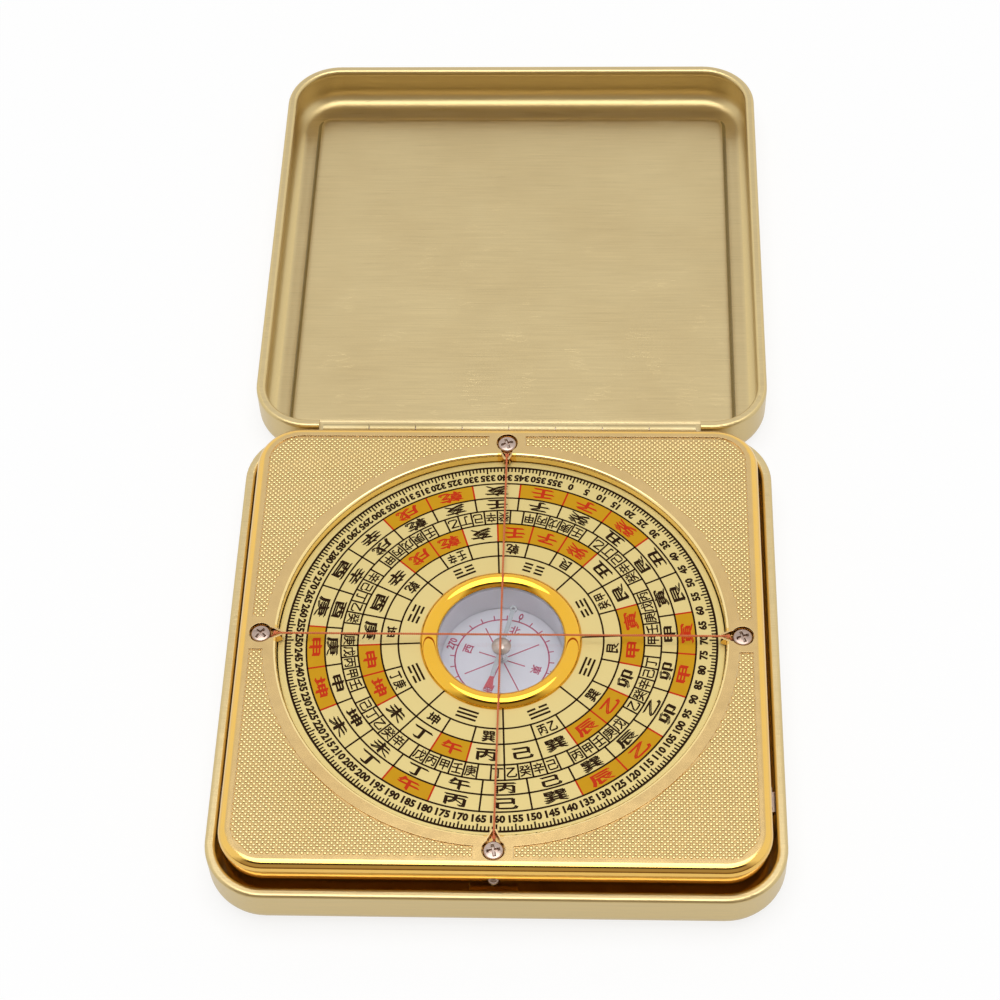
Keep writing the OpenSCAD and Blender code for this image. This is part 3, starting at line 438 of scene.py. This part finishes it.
# Painted highlight: the studs take a paler copy of the frame's plating.
stud_gold = metal("stud_gold", paint(214, 190, 134), paint(208, 183, 126), 0.2,
                  grain=(900.0, 900.0, 900.0), depth=0.000008, mottle=0.02)
stud_points, stud_faces = lathe(
    [(0, -0.02), (0.33, -0.02), (0.33, 0.02), (0.26, 0.09), (0.14, 0.13), (0, 0.14)], 8)
stud = mesh_piece("stud", stud_points, stud_faces)
stud.data.shade_smooth()
for corner, (east, north) in enumerate(((1, 1), (-1, 1), (-1, -1), (1, -1)), 1):
    spots = []
    for row in range(-100, 101):
        for column in range(-50, 51):
            x = (column + 0.5 * (row % 2)) * stud_pitch
            y = row * stud_pitch / 2
            if x * east > 0 and y * north > 0 and in_field(x, y):
                spots.append((x, y, field_floor, 0.0))
    studs = scatter(f"studs_{corner}", spots, stud, stud_gold)
    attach(studs, "case_and_housing")
bpy.data.objects.remove(stud)


# Inside of the housing: the moulded base with its posts and journal, and the ring of
# pressed felt that steadies the dial.
def moulding(name, tone, roughness, speckle=0.00002, scale=4200.0, gleam=0.5):
    """A moulded or pressed stuff with a fine even grain."""
    stuff = bpy.data.materials.new(name)
    stuff.use_nodes = True
    tree = stuff.node_tree
    tree.nodes.clear()
    place = node(tree, "ShaderNodeTexCoord").outputs["Object"]
    fine = node(tree, "ShaderNodeTexNoise", {"Vector": place, "Scale": scale, "Detail": 3.0})
    wide = node(tree, "ShaderNodeTexNoise", {"Vector": place, "Scale": 120.0, "Detail": 3.0})
    level = node(tree, "ShaderNodeMapRange", {0: wide.outputs[0], 1: 0.3, 2: 0.7, 3: 0.95, 4: 1.05})
    coloured = node(tree, "ShaderNodeVectorMath", {0: tone[:3], 1: level}, operation="MULTIPLY")
    bump = node(tree, "ShaderNodeBump", {
        "Strength": 0.6, "Distance": speckle, "Height": fine.outputs[0]})
    dull = node(tree, "ShaderNodeMapRange", {
        0: fine.outputs[0], 3: roughness * 0.85, 4: roughness * 1.15})
    body = node(tree, "ShaderNodeBsdfPrincipled", {
        "Base Color": coloured, "Roughness": dull, "Normal": bump,
        "Specular IOR Level": gleam})
    node(tree, "ShaderNodeOutputMaterial", {"Surface": body})
    return stuff


moulded_black = moulding("moulded_black", paint(44, 30, 26), 0.55)
dress(("housing_base", "dial_carrier"), moulded_black)
dress(("glide_ring",), moulding("felt", paint(110, 34, 34), 0.95, 0.00012, 2600.0, 0.1))


# Catch nub and side clips: a bright steel ball that the lid's rim snaps over, and two
# springs between housing and tray. The retaining clip of the dial is of the same wire.
dress(("catch_nub", "side_clips", "carrier_clip"), bright_steel)


# Screws: four nickel-plated steel screws with rounded heads and cross slots, rolled
# thread on the shank. They clamp the crosshair threads and hold the housing down.
screw_r, shank_r, thread_rise = 39.7, 1.0, 0.4
head_foot, head_high, head_r = 13.24, 14.14, 1.7
head_profile = [(0, head_foot - 0.1), (shank_r - 0.05, head_foot - 0.1),
                (shank_r - 0.05, head_foot), (head_r - 0.04, head_foot),
                (head_r, head_foot + 0.06), (head_r, head_foot + 0.3)]
for step in range(1, 9):
    lean = math.radians(step * 10)
    head_profile.append((head_r - 0.42 + 0.42 * math.cos(lean),
                         head_foot + 0.3 + 0.5 * math.sin(lean)))
head_profile += [(0.9, head_high - 0.05), (0.45, head_high - 0.01), (0, head_high)]
screw = smooth(mesh_piece("screw", *lathe(head_profile, 48), bright_steel), 35)
slot_points, slot_faces = [], []
for level, (reach, width) in ((14.3, (1.35, 0.32)), (13.62, (0.7, 0.16))):
    for quarter in range(4):
        turn = math.pi / 2 * quarter
        for along, across in ((width, -width), (reach, -width), (reach, width)):
            slot_points.append((along * math.cos(turn) - across * math.sin(turn),
                                along * math.sin(turn) + across * math.cos(turn), level))
slot_faces.append(tuple(range(12)))
slot_faces.append(tuple(range(23, 11, -1)))
for i in range(12):
    j = (i + 1) % 12
    slot_faces.append((j, i, 12 + i, 12 + j))
slot_cutter = mesh_piece("slot_cutter", slot_points, slot_faces)
cut = screw.modifiers.new("cross_slot", "BOOLEAN")
cut.object = slot_cutter
cut.solver = "EXACT"
screw.data = bpy.data.meshes.new_from_object(
    screw.evaluated_get(bpy.context.evaluated_depsgraph_get()))
screw.modifiers.remove(screw.modifiers[0])
bpy.data.objects.remove(slot_cutter)

shank_points, shank_faces = [], []
around, rows, shank_foot = 20, 112, 6.1
for row in range(rows + 1):
    height = shank_foot + (head_foot + 0.02 - shank_foot) * row / rows
    taper = min(1, 0.55 + 0.45 * (height - shank_foot) / 0.5)
    for i in range(around):
        wave = ((height / thread_rise - i / around) % 1.0) * 2 - 1
        radius = (shank_r - 0.19 * (1 - abs(wave))) * taper
        turn = 2 * math.pi * i / around
        shank_points.append((radius * math.cos(turn), radius * math.sin(turn), height))
for row in range(rows):
    for i in range(around):
        j = (i + 1) % around
        low, high = row * around, (row + 1) * around
        shank_faces.append((low + i, low + j, high + j, high + i))
shank_faces.append(tuple(range(around - 1, -1, -1)))
shank_faces.append(tuple(rows * around + i for i in range(around)))
shank = smooth(mesh_piece("shank", shank_points, shank_faces, bright_steel))
screw_spots = [(screw_r, 0, 0, 0.35), (0, screw_r, 0, 1.9), (-screw_r, 0, 0, 0.9),
               (0, -screw_r, 0, 0.2)]
for part, name in ((screw, "screw_heads"), (shank, "screw_shanks")):
    set_of_four = scatter(name, screw_spots, part, bright_steel)
    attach(set_of_four, "case_and_housing")
    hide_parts("thread_screws")
    bpy.data.objects.remove(part)


# Crosshair: two red threads of two twisted plies, pulled tight over the dial. Each is
# looped round a screw at both ends, under the head, and knotted where it leaves it.
thread_r = 0.15
ply_r, ply_offset, ply_pitch = 0.115, 0.09, 0.72
loop_r, loop_z, knot_r = 1.2, 13.05, 37.25


def thread_tree():
    """Twists two plies along a path and closes their ends."""
    tree = bpy.data.node_groups.new("twisted_thread", "GeometryNodeTree")
    for label, kind in (("Path", "NodeSocketGeometry"), ("Ply Radius", "NodeSocketFloat"),
                        ("Ply Offset", "NodeSocketFloat"), ("Pitch", "NodeSocketFloat"),
                        ("Step", "NodeSocketFloat"), ("Finish", "NodeSocketMaterial")):
        tree.interface.new_socket(name=label, in_out="INPUT", socket_type=kind)
    tree.interface.new_socket(name="Result", in_out="OUTPUT", socket_type="NodeSocketGeometry")
    given = node(tree, "NodeGroupInput")
    line = node(tree, "GeometryNodeMeshToCurve", {"Mesh": given.outputs["Path"]})
    even = node(tree, "GeometryNodeResampleCurve", {
        "Curve": line, "Length": given.outputs["Step"]}, mode="LENGTH")
    run = node(tree, "GeometryNodeSplineParameter").outputs["Length"]
    turns = math_node(tree, "DIVIDE", run, given.outputs["Pitch"])
    tilt = math_node(tree, "MULTIPLY", turns, 2 * math.pi)
    wound = node(tree, "GeometryNodeSetCurveTilt", {"Curve": even, "Tilt": tilt})
    ring = node(tree, "GeometryNodeCurvePrimitiveCircle", {
        "Resolution": 6, "Radius": given.outputs["Ply Radius"]})
    away = node(tree, "ShaderNodeCombineXYZ", {"X": given.outputs["Ply Offset"]})
    back = node(tree, "ShaderNodeVectorMath", {0: away, 1: (-1.0, -1.0, -1.0)},
                operation="MULTIPLY")
    plies = node(tree, "GeometryNodeJoinGeometry")
    for shift in (away, back):
        moved = node(tree, "GeometryNodeTransform", {
            "Geometry": ring.outputs["Curve"], "Translation": shift})
        tree.links.new(moved.outputs[0], plies.inputs[0])
    tube = node(tree, "GeometryNodeCurveToMesh", {
        "Curve": wound, "Profile Curve": plies, "Fill Caps": True})
    real = node(tree, "GeometryNodeRealizeInstances", {"Geometry": tube})
    done = node(tree, "GeometryNodeSetMaterial", {
        "Geometry": real, "Material": given.outputs["Finish"]})
    node(tree, "NodeGroupOutput", {0: done})
    return tree


red_thread = bpy.data.materials.new("red_thread")
red_thread.use_nodes = True
tree = red_thread.node_tree
tree.nodes.clear()
place = node(tree, "ShaderNodeTexCoord").outputs["Object"]
fibre = node(tree, "ShaderNodeTexNoise", {"Vector": place, "Scale": 9000.0, "Detail": 2.0})
wash = node(tree, "ShaderNodeMixRGB", {
    "Fac": fibre.outputs[0], "Color1": paint(222, 96, 48), "Color2": paint(244, 152, 94)})
fuzz = node(tree, "ShaderNodeBump", {
    "Strength": 0.5, "Distance": 0.00002, "Height": fibre.outputs[0]})
node(tree, "ShaderNodeOutputMaterial", {"Surface": node(
    tree, "ShaderNodeBsdfPrincipled", {
        "Base Color": wash, "Roughness": 0.6, "Normal": fuzz,
        "Sheen Weight": 0.3, "Sheen Roughness": 0.4})})

thread_form = thread_tree()
for name, run_z, heading in (("crosshair_ns", 13.81, 90), ("crosshair_ew", 14.13, 0)):
    route = []
    for step in range(23):
        turn = math.radians(12 + step * 336 / 22 + 180)
        route.append((screw_r + loop_r * math.cos(turn), loop_r * math.sin(turn),
                      loop_z + 0.02 * math.sin(turn)))
    route = route[::-1]
    rise_x = screw_r - head_r - thread_r
    route += [(screw_r - loop_r * 1.25, 0.03, loop_z), (rise_x, 0, loop_z + 0.04),
              (knot_r, 0, run_z)]
    knot = []
    for step in range(25):
        turn = 2 * math.pi * step / 24
        knot.append((knot_r + 0.05 + 0.062 * (math.sin(turn) + 2 * math.sin(2 * turn)),
                     0.062 * (math.cos(turn) - 2 * math.cos(2 * turn)) * 1.3,
                     run_z - 0.1 - 0.13 * math.sin(3 * turn)))
    far = [(-x, -y, z) for x, y, z in reversed(route)]
    line = route + far
    far_knot = [(-x, -y, z) for x, y, z in knot]
    points, edges = [], []
    for string in (line, knot, far_knot):
        first = len(points)
        points += string
        edges += [(first + i, first + i + 1) for i in range(len(string) - 1)]
    turn = math.radians(heading)
    points = [(x * math.cos(turn) - y * math.sin(turn), x * math.sin(turn) + y * math.cos(turn), z)
              for x, y, z in points]
    thread = mesh_piece(name + "_plies", points, [], edges=edges)
    grow(thread, thread_form, **{
        "Ply Radius": ply_r * MM, "Ply Offset": ply_offset * MM, "Pitch": ply_pitch * MM,
        "Step": 0.09 * MM, "Finish": red_thread})
    thread.data.shade_smooth()
    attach(thread, "case_and_housing")
    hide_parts(name)


# Dial plate: a disc of pale gold aluminium sheet, screen printed in orange, black and
# red. Every print is a skin of ink a few hundredths of a millimetre thick.
dial_face, dial_turn = 12.4, 19.5
sheet_alu = bpy.data.materials.new("dial_print")
sheet_alu.use_nodes = True
tree = sheet_alu.node_tree
tree.nodes.clear()
place = node(tree, "ShaderNodeTexCoord").outputs["Object"]
cloud = node(tree, "ShaderNodeTexNoise", {"Vector": place, "Scale": 60.0, "Detail": 4.0})
speck = node(tree, "ShaderNodeTexNoise", {"Vector": place, "Scale": 3000.0, "Detail": 2.0})
tone = node(tree, "ShaderNodeMixRGB", {
    "Fac": cloud.outputs[0], "Color1": paint(224, 203, 135), "Color2": paint(217, 196, 127)})
grit = node(tree, "ShaderNodeBump", {
    "Strength": 0.4, "Distance": 0.00001, "Height": speck.outputs[0]})
dull = node(tree, "ShaderNodeMapRange", {0: speck.outputs[0], 3: 0.38, 4: 0.55})
node(tree, "ShaderNodeOutputMaterial", {"Surface": node(tree, "ShaderNodeBsdfPrincipled", {
    "Base Color": tone, "Metallic": 0.35, "Roughness": dull, "Normal": grit})})
dress(("dial_plate",), sheet_alu)


def turned_ring(name, section, steps, finish):
    """A closed ring turned from its section's (radius, height) points, anticlockwise."""
    points, faces = [], []
    for i in range(steps):
        turn = 2 * math.pi * i / steps
        points += [(r * math.cos(turn), r * math.sin(turn), z) for r, z in section]
    count = len(section)
    for i in range(steps):
        here, there = i * count, (i + 1) % steps * count
        for a in range(count):
            b = (a + 1) % count
            faces.append((here + a, there + a, there + b, here + b))
    return smooth(mesh_piece(name, points, faces, finish), 35)


plate_edge = turned_ring("plate_edge", [
    (36.7, dial_face - 0.38), (36.8, dial_face - 0.38), (36.88, dial_face - 0.3),
    (36.88, dial_face - 0.06), (36.82, dial_face), (36.7, dial_face + 0.006)], 256, sheet_alu)
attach(plate_edge, "dial")


def ink(name, tone, second):
    """Screen ink: an even satin skin, a little thinner in places."""
    stuff = bpy.data.materials.new(name)
    stuff.use_nodes = True
    tree = stuff.node_tree
    tree.nodes.clear()
    place = node(tree, "ShaderNodeTexCoord").outputs["Object"]
    patchy = node(tree, "ShaderNodeTexNoise", {"Vector": place, "Scale": 700.0, "Detail": 3.0})
    mixed = node(tree, "ShaderNodeMixRGB", {
        "Fac": patchy.outputs[0], "Color1": tone, "Color2": second})
    pores = node(tree, "ShaderNodeBump", {
        "Strength": 0.3, "Distance": 0.00001, "Height": patchy.outputs[0]})
    node(tree, "ShaderNodeOutputMaterial", {"Surface": node(
        tree, "ShaderNodeBsdfPrincipled", {
            "Base Color": mixed, "Roughness": 0.42, "Normal": pores,
            "Specular IOR Level": 0.05})})
    return stuff


black_ink = ink("black_ink", paint(40, 22, 4), paint(50, 30, 8))
red_ink = ink("red_ink", paint(204, 50, 22), paint(214, 66, 30))
orange_ink = ink("orange_ink", paint(222, 166, 34), paint(214, 158, 28))


def polar(radius, angle, up=0.0, across=0.0):
    """A point of the turned dial: up points to the centre, across to a reader's right."""
    h = math.radians(angle + dial_turn)
    return (radius * math.sin(h) - up * math.sin(h) - across * math.cos(h),
            radius * math.cos(h) - up * math.cos(h) + across * math.sin(h))


def band(sheet, inner, outer, start, end, low, high):
    """A closed piece of a ring between two radii and two angles, or a whole ring."""
    whole = end - start >= 360
    steps = max(1, round((end - start) / 1.5))
    first = len(sheet[0])
    for i in range(steps + (not whole)):
        angle = start + (end - start) * i / steps
        for radius, z in ((inner, low), (outer, low), (outer, high), (inner, high)):
            sheet[0].append((*polar(radius, angle), z))
    count = steps + (not whole)
    for i in range(steps):
        here, there = first + 4 * i, first + 4 * ((i + 1) % count)
        for a in range(4):
            b = (a + 1) % 4
            sheet[1].append((here + a, here + b, there + b, there + a))
    if not whole:
        last = first + 4 * (count - 1)
        sheet[1].append((first + 3, first + 2, first + 1, first))
        sheet[1].append((last, last + 1, last + 2, last + 3))


def bar(sheet, radius, angle, long, wide, low, high, up=0.0, across=0.0):
    """A closed bar: wide along the ring and long towards the centre."""
    first = len(sheet[0])
    for z in (low, high):
        for u, a in ((-long / 2, -wide / 2), (-long / 2, wide / 2),
                     (long / 2, wide / 2), (long / 2, -wide / 2)):
            sheet[0].append((*polar(radius, angle, up + u, across + a), z))
    for face in ((3, 2, 1, 0), (4, 5, 6, 7), (0, 1, 5, 4), (1, 2, 6, 5), (2, 3, 7, 6),
                 (3, 0, 4, 7)):
        sheet[1].append(tuple(first + i for i in face))


letters = {}
same_point, second_coat = 1e-5, 0.002


def letter(text, weight):
    """The closed solid of a sign, one unit high per em, centred in width."""
    if (text, weight) not in letters:
        curve = bpy.data.curves.new("sign", "FONT")
        curve.body = text
        curve.align_x = "CENTER"
        curve.resolution_u = 2
        curve.extrude = 0.5
        curve.offset = weight
        drawn = bpy.data.objects.new("sign", curve)
        bpy.context.scene.collection.objects.link(drawn)
        bpy.context.view_layer.update()
        mesh = bpy.data.meshes.new_from_object(
            drawn.evaluated_get(bpy.context.evaluated_depsgraph_get()))
        shape = bmesh.new()
        shape.from_mesh(mesh)
        bmesh.ops.remove_doubles(shape, verts=shape.verts, dist=same_point)
        bmesh.ops.recalc_face_normals(shape, faces=shape.faces)
        shape.verts.index_update()
        letters[text, weight] = ([v.co.copy() for v in shape.verts],
                                 [tuple(v.index for v in f.verts) for f in shape.faces])
        shape.free()
        bpy.data.objects.remove(drawn)
    return letters[text, weight]


def stamp(sheet, text, radius, angle, wide, tall, low, high, middle=0.38, across=0.0,
          weight=0.0, inward=1):
    """Prints a number or sign with its top to the centre, or away from it where inward is
    -1. Its width and height are in millimetres per em. A number's weight widens its
    outline. A sign is printed twice, that far to each side, so that fine strokes stay open."""
    is_number = text.isdigit()
    points, faces = letter(text, weight if is_number else 0.0)
    for coat, aside in enumerate((0.0,) if is_number else (-weight, weight)):
        first = len(sheet[0])
        thick = high - low + second_coat * coat
        for point in points:
            x, y = polar(radius, angle, inward * (point.y - middle - aside) * tall,
                         across + inward * (point.x + aside) * wide)
            sheet[0].append((x, y, low + (point.z + 0.5) * thick))
        for face in faces:
            sheet[1].append(tuple(first + i for i in face))


rings = (35.6, 32.15, 29.1, 26.45, 23.65, 19.85, 16.95, 13.4)
mountains = "子癸丑艮寅甲卯乙辰巽己丙午丁未坤申庚酉辛戌乾亥壬"
orange_signs = set("壬子癸寅甲乙辰午坤申戌乾")
stems = "甲乙丙丁戊己庚辛壬癸"
partners = {"壬": "乾", "癸": "艮", "艮": "癸甲", "甲": "艮",
            "乙": "巽", "巽": "丙乙", "丙": "巽", "丁": "坤",
            "坤": "丁庚", "庚": "坤", "辛": "乾", "乾": "壬辛"}
ink_low, field_high, line_high = dial_face - 0.004, dial_face + 0.012, dial_face + 0.022
black, red, orange = ([], []), ([], []), ([], [])
line = 0.3


def ring_line(radius, wide=line):
    band(black, radius - wide / 2, radius + wide / 2, 0, 360, ink_low, line_high)


def spoke(outer, inner, angle, sheet=black):
    bar(sheet, (outer + inner) / 2, angle, outer - inner, line, ink_low, line_high)


ring_line(rings[0], wide=0.38)
for number in range(0, 360, 5):
    stamp(black, str(number), 33.4, number, 1.76, 1.72, ink_low, line_high, middle=0.345,
          weight=0.052)
for outer, inner, offset, coloured, size in (
        (rings[1], rings[2], 7.5, True, (4.2, 2.25)),
        (rings[2], rings[3], -7.5, False, (3.8, 2.15)),
        (rings[4], rings[5], 0.0, True, (3.8, 2.4))):
    for place, sign in enumerate(mountains):
        angle = 15 * place + offset
        filled = coloured and sign in orange_signs
        before = coloured and mountains[place - 1] in orange_signs
        if filled:
            band(orange, inner + 0.04, outer - 0.04, angle - 7.5, angle + 7.5, ink_low, field_high)
        spoke(outer, inner, angle - 7.5, red if filled or before else black)
        stamp(red if filled else black, sign, (outer + inner) / 2, angle, *size, ink_low,
              line_high, weight=0.032)
for radius in rings[1:7]:
    ring_line(radius)
for step in range(72):
    angle = step * 5
    spoke(rings[3], rings[4], angle - 2.5)
    spot = (step + 2) % 6
    if spot < 5:
        branch = (step + 2) // 6
        stem = stems[(branch % 12 % 10 + 2 * spot) % 10]
        stamp(black, stem, 25.05, angle, 1.95, 2.15, ink_low, line_high, weight=0.022)
for place, sign in enumerate(mountains):
    angle = 15 * place
    spoke(rings[5], rings[6], angle - 7.5)
    pair = partners.get(sign, "")
    for spot, partner in enumerate(pair):
        shift = (spot - (len(pair) - 1) / 2) * 1.75
        stamp(black, partner, 18.4, angle, 2.3 / len(pair) ** 0.5, 2.2, ink_low, line_high,
              across=shift, weight=0.028)
trigrams = ("000", "001", "101", "011", "111", "110", "010", "100")
for place, lines in enumerate(trigrams):
    spoke(rings[6], rings[7] - 0.2, 45 * place + 22.5)
    for row, solid in enumerate(lines):
        depth = (0.72, 0.0, -0.72)[row]
        for half in ((0.0,) if solid == "1" else (-1.02, 1.02)):
            bar(black, 15.15, 45 * place, 0.36, 3.5 if solid == "1" else 1.46, ink_low,
                line_high, up=depth, across=half)


def marks_tree():
    """Marks around a circle: short ones, and a long one every so often."""
    tree = bpy.data.node_groups.new("ring_of_marks", "GeometryNodeTree")
    for label, kind in (("Base", "NodeSocketGeometry"), ("Marks", "NodeSocketInt"),
                        ("Radius", "NodeSocketFloat"), ("Turn", "NodeSocketFloat"),
                        ("Length", "NodeSocketFloat"), ("Width", "NodeSocketFloat"),
                        ("Thickness", "NodeSocketFloat"), ("Height", "NodeSocketFloat"),
                        ("Every", "NodeSocketInt"), ("Longer", "NodeSocketFloat"),
                        ("Reach", "NodeSocketFloat"), ("Finish", "NodeSocketMaterial")):
        tree.interface.new_socket(name=label, in_out="INPUT", socket_type=kind)
    tree.interface.new_socket(name="Result", in_out="OUTPUT", socket_type="NodeSocketGeometry")
    given = node(tree, "NodeGroupInput")
    ring = node(tree, "GeometryNodeMeshCircle", {
        "Vertices": given.outputs["Marks"], "Radius": given.outputs["Radius"]})
    size = node(tree, "ShaderNodeCombineXYZ", {
        "X": given.outputs["Length"], "Y": given.outputs["Width"],
        "Z": given.outputs["Thickness"]})
    block = node(tree, "GeometryNodeMeshCube", {"Size": size})
    reach = math_node(tree, "MULTIPLY", given.outputs["Length"], given.outputs["Reach"])
    shift = node(tree, "ShaderNodeCombineXYZ", {"X": reach, "Z": given.outputs["Height"]})
    mark = node(tree, "GeometryNodeTransform", {"Geometry": block, "Translation": shift})
    index = node(tree, "GeometryNodeInputIndex")
    step = math_node(tree, "DIVIDE", 2 * math.pi, given.outputs["Marks"])
    angle = math_node(tree, "MULTIPLY", index, step)
    facing = node(tree, "ShaderNodeCombineXYZ", {"Z": angle})
    rest = math_node(tree, "MODULO", index, given.outputs["Every"])
    is_long = math_node(tree, "LESS_THAN", rest, 0.5)
    extra = math_node(tree, "MULTIPLY", is_long, given.outputs["Longer"])
    stretch = math_node(tree, "ADD", extra, 1.0)
    scale = node(tree, "ShaderNodeCombineXYZ", {"X": stretch, "Y": 1.0, "Z": 1.0})
    placed = node(tree, "GeometryNodeInstanceOnPoints", {
        "Points": ring, "Instance": mark, "Rotation": facing, "Scale": scale})
    turned = node(tree, "ShaderNodeCombineXYZ", {"Z": given.outputs["Turn"]})
    real = node(tree, "GeometryNodeRealizeInstances", {"Geometry": placed})
    swung = node(tree, "GeometryNodeTransform", {"Geometry": real, "Rotation": turned})
    done = node(tree, "GeometryNodeSetMaterial", {
        "Geometry": swung, "Material": given.outputs["Finish"]})
    node(tree, "NodeGroupOutput", {0: done})
    return tree


marks_form = marks_tree()
degree_marks = mesh_piece("degree_marks", [], [])
grow(degree_marks, marks_form, Marks=360, Radius=35.52 * MM, Turn=math.radians(90 - dial_turn),
     Length=0.8 * MM, Width=0.28 * MM, Thickness=0.026 * MM, Height=(dial_face + 0.009) * MM,
     Every=5, Longer=0.5, Reach=-0.5, Finish=black_ink)
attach(degree_marks, "dial")
for name, sheet, stuff in (("print_orange", orange, orange_ink), ("print_black", black, black_ink),
                           ("print_red", red, red_ink)):
    skin = mesh_piece(name, *sheet, stuff)
    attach(skin, "dial")


# Capsule: a moulded white cup with the printed card on its floor, a pale gasket and a
# flat glass. A turned, gold-plated bezel clamps them to the dial. Its crown is a
# little leaner than round.
dress(("capsule_cup",), moulding("white_plastic", paint(230, 228, 234), 0.3))
white_card = moulding("white_card", paint(232, 230, 238), 0.5, 0.000008)
dress(("compass_card",), white_card)
dress(("lens_gasket",), moulding("gasket_rubber", paint(200, 195, 204), 0.7))
bezel_gold = metal("bezel_gold", paint(240, 186, 58), paint(236, 180, 50), 0.04,
                   grain=(260.0, 260.0, 260.0), depth=0.000008, mottle=0.02, lacquer=0.3)
pin_steel = metal("pin_steel", paint(228, 226, 228), paint(212, 210, 212), 0.25)
dress(("pivot_pin",), pin_steel)
cap_lacquer = bpy.data.materials.new("cap_lacquer")
cap_lacquer.use_nodes = True
tree = cap_lacquer.node_tree
tree.nodes.clear()
place = node(tree, "ShaderNodeTexCoord").outputs["Object"]
swirl = node(tree, "ShaderNodeTexNoise", {"Vector": place, "Scale": 900.0, "Detail": 2.0})
resin = node(tree, "ShaderNodeMixRGB", {
    "Fac": swirl.outputs[0], "Color1": paint(218, 198, 184), "Color2": paint(186, 166, 148)})
node(tree, "ShaderNodeOutputMaterial", {"Surface": node(tree, "ShaderNodeBsdfPrincipled", {
    "Base Color": resin, "Metallic": 0.55, "Roughness": 0.26, "Coat Weight": 0.6,
    "Coat Roughness": 0.1})})
dress(("needle_cap",), cap_lacquer)


crown_r, crown_z, half_width, fullness = 11.925, 13.6, 1.475, 1.2
lens_top, skirt_foot = 12.62, 11.0
bezel_section = [(10.45, lens_top), (11.35, lens_top), (11.35, skirt_foot),
                 (11.95, skirt_foot), (11.95, dial_face), (13.4, dial_face)]
for step in range(1, 33):
    lean = math.pi * step / 32
    foot = dial_face if lean < math.pi / 2 else lens_top + 0.06
    out, up = math.cos(lean), math.sin(lean)
    bezel_section.append((crown_r + half_width * math.copysign(abs(out) ** fullness, out),
                          foot + (crown_z - foot) * abs(up) ** fullness))
bezel = turned_ring("bezel", bezel_section, 192, bezel_gold)
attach(bezel, "dial")
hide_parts("bezel_ring")

lens_glass = bpy.data.materials.new("lens_glass")
lens_glass.use_nodes = True
tree = lens_glass.node_tree
tree.nodes.clear()
place = node(tree, "ShaderNodeTexCoord").outputs["Object"]
smear = node(tree, "ShaderNodeTexNoise", {"Vector": place, "Scale": 160.0, "Detail": 3.0})
haze = node(tree, "ShaderNodeMapRange", {0: smear.outputs[0], 1: 0.5, 2: 0.8, 3: 0.0, 4: 0.03})
node(tree, "ShaderNodeOutputMaterial", {"Surface": node(tree, "ShaderNodeBsdfPrincipled", {
    "Base Color": (0.98, 0.99, 1.0, 1), "Roughness": haze, "IOR": 1.45,
    "Transmission Weight": 1.0})})
lens_low, lens_r = 12.2, 11.25
pane = smooth(mesh_piece("pane", *lathe(
    [(0, lens_low), (lens_r, lens_low), (lens_r, lens_top), (0, lens_top)], 96), lens_glass))
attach(pane, "dial")
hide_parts("lens")

card_z, card_r = 6.4, 7.87
rose = ([], [])
card_ink = ink("card_ink", paint(176, 40, 88), paint(196, 62, 108))
card_low, card_high = card_z - 0.003, card_z + 0.014
band(rose, card_r - 0.12, card_r + 0.12, 0, 360, card_low, card_high)
for place in range(8):
    reach = 6.8 if place % 2 else 4.1
    bar(rose, reach / 2 + 0.1, 45 * place, reach - 0.2, 0.2, card_low, card_high)
for place, number in enumerate(("0", "90", "180", "270")):
    stamp(rose, number, 9.0, 90 * place, 1.5, 1.75, card_low, card_high, middle=0.345,
          weight=0.03, inward=-1)
for place, sign in enumerate("北東南西"):
    stamp(rose, sign, 6.1, 90 * place, 1.8, 1.8, card_low, card_high, weight=0.02,
          inward=-1)
card_print = mesh_piece("card_print", *rose, card_ink)
card_marks = mesh_piece("card_marks", [], [])
grow(card_marks, marks_form, Marks=24, Radius=(card_r - 0.02) * MM,
     Turn=math.radians(90 - dial_turn), Length=0.9 * MM, Width=0.2 * MM, Thickness=0.017 * MM,
     Height=(card_z + 0.0055) * MM, Every=24, Longer=0.0, Reach=0.5, Finish=card_ink)
for piece in (card_print, card_marks):
    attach(piece, "dial")


# Needle: a plain steel strip with a ring at its tail and a notched pointer painted red,
# on a turned cap with a jewel.
needle_turn = math.radians(13.5 + 180)
needle_steel = bpy.data.materials.new("needle_steel")
needle_steel.use_nodes = True
tree = needle_steel.node_tree
tree.nodes.clear()
place = node(tree, "ShaderNodeTexCoord").outputs["Object"]
along = node(tree, "ShaderNodeVectorMath", {
    0: place, 1: (math.sin(needle_turn), math.cos(needle_turn), 0)}, operation="DOT_PRODUCT")
dipped = node(tree, "ShaderNodeMapRange", {
    0: along.outputs["Value"], 1: 5.9 * MM, 2: 6.0 * MM})
stroke = node(tree, "ShaderNodeTexNoise", {"Vector": place, "Scale": 2600.0, "Detail": 2.0})
silver = node(tree, "ShaderNodeMixRGB", {
    "Fac": stroke.outputs[0], "Color1": paint(176, 178, 182), "Color2": paint(148, 150, 154)})
coloured = node(tree, "ShaderNodeMixRGB", {
    "Fac": dipped, "Color1": silver, "Color2": paint(200, 40, 60)})
bare = math_node(tree, "SUBTRACT", 1.0, dipped)
drawn = node(tree, "ShaderNodeBump", {
    "Strength": 0.4, "Distance": 0.000006, "Height": stroke.outputs[0]})
node(tree, "ShaderNodeOutputMaterial", {"Surface": node(tree, "ShaderNodeBsdfPrincipled", {
    "Base Color": coloured, "Metallic": bare, "Roughness": 0.3, "Normal": drawn})})
dress(("needle_blade",), needle_steel)
jewel = moulding("jewel", paint(196, 60, 84), 0.1, 0.000002)
dress(("needle_jewel",), jewel)
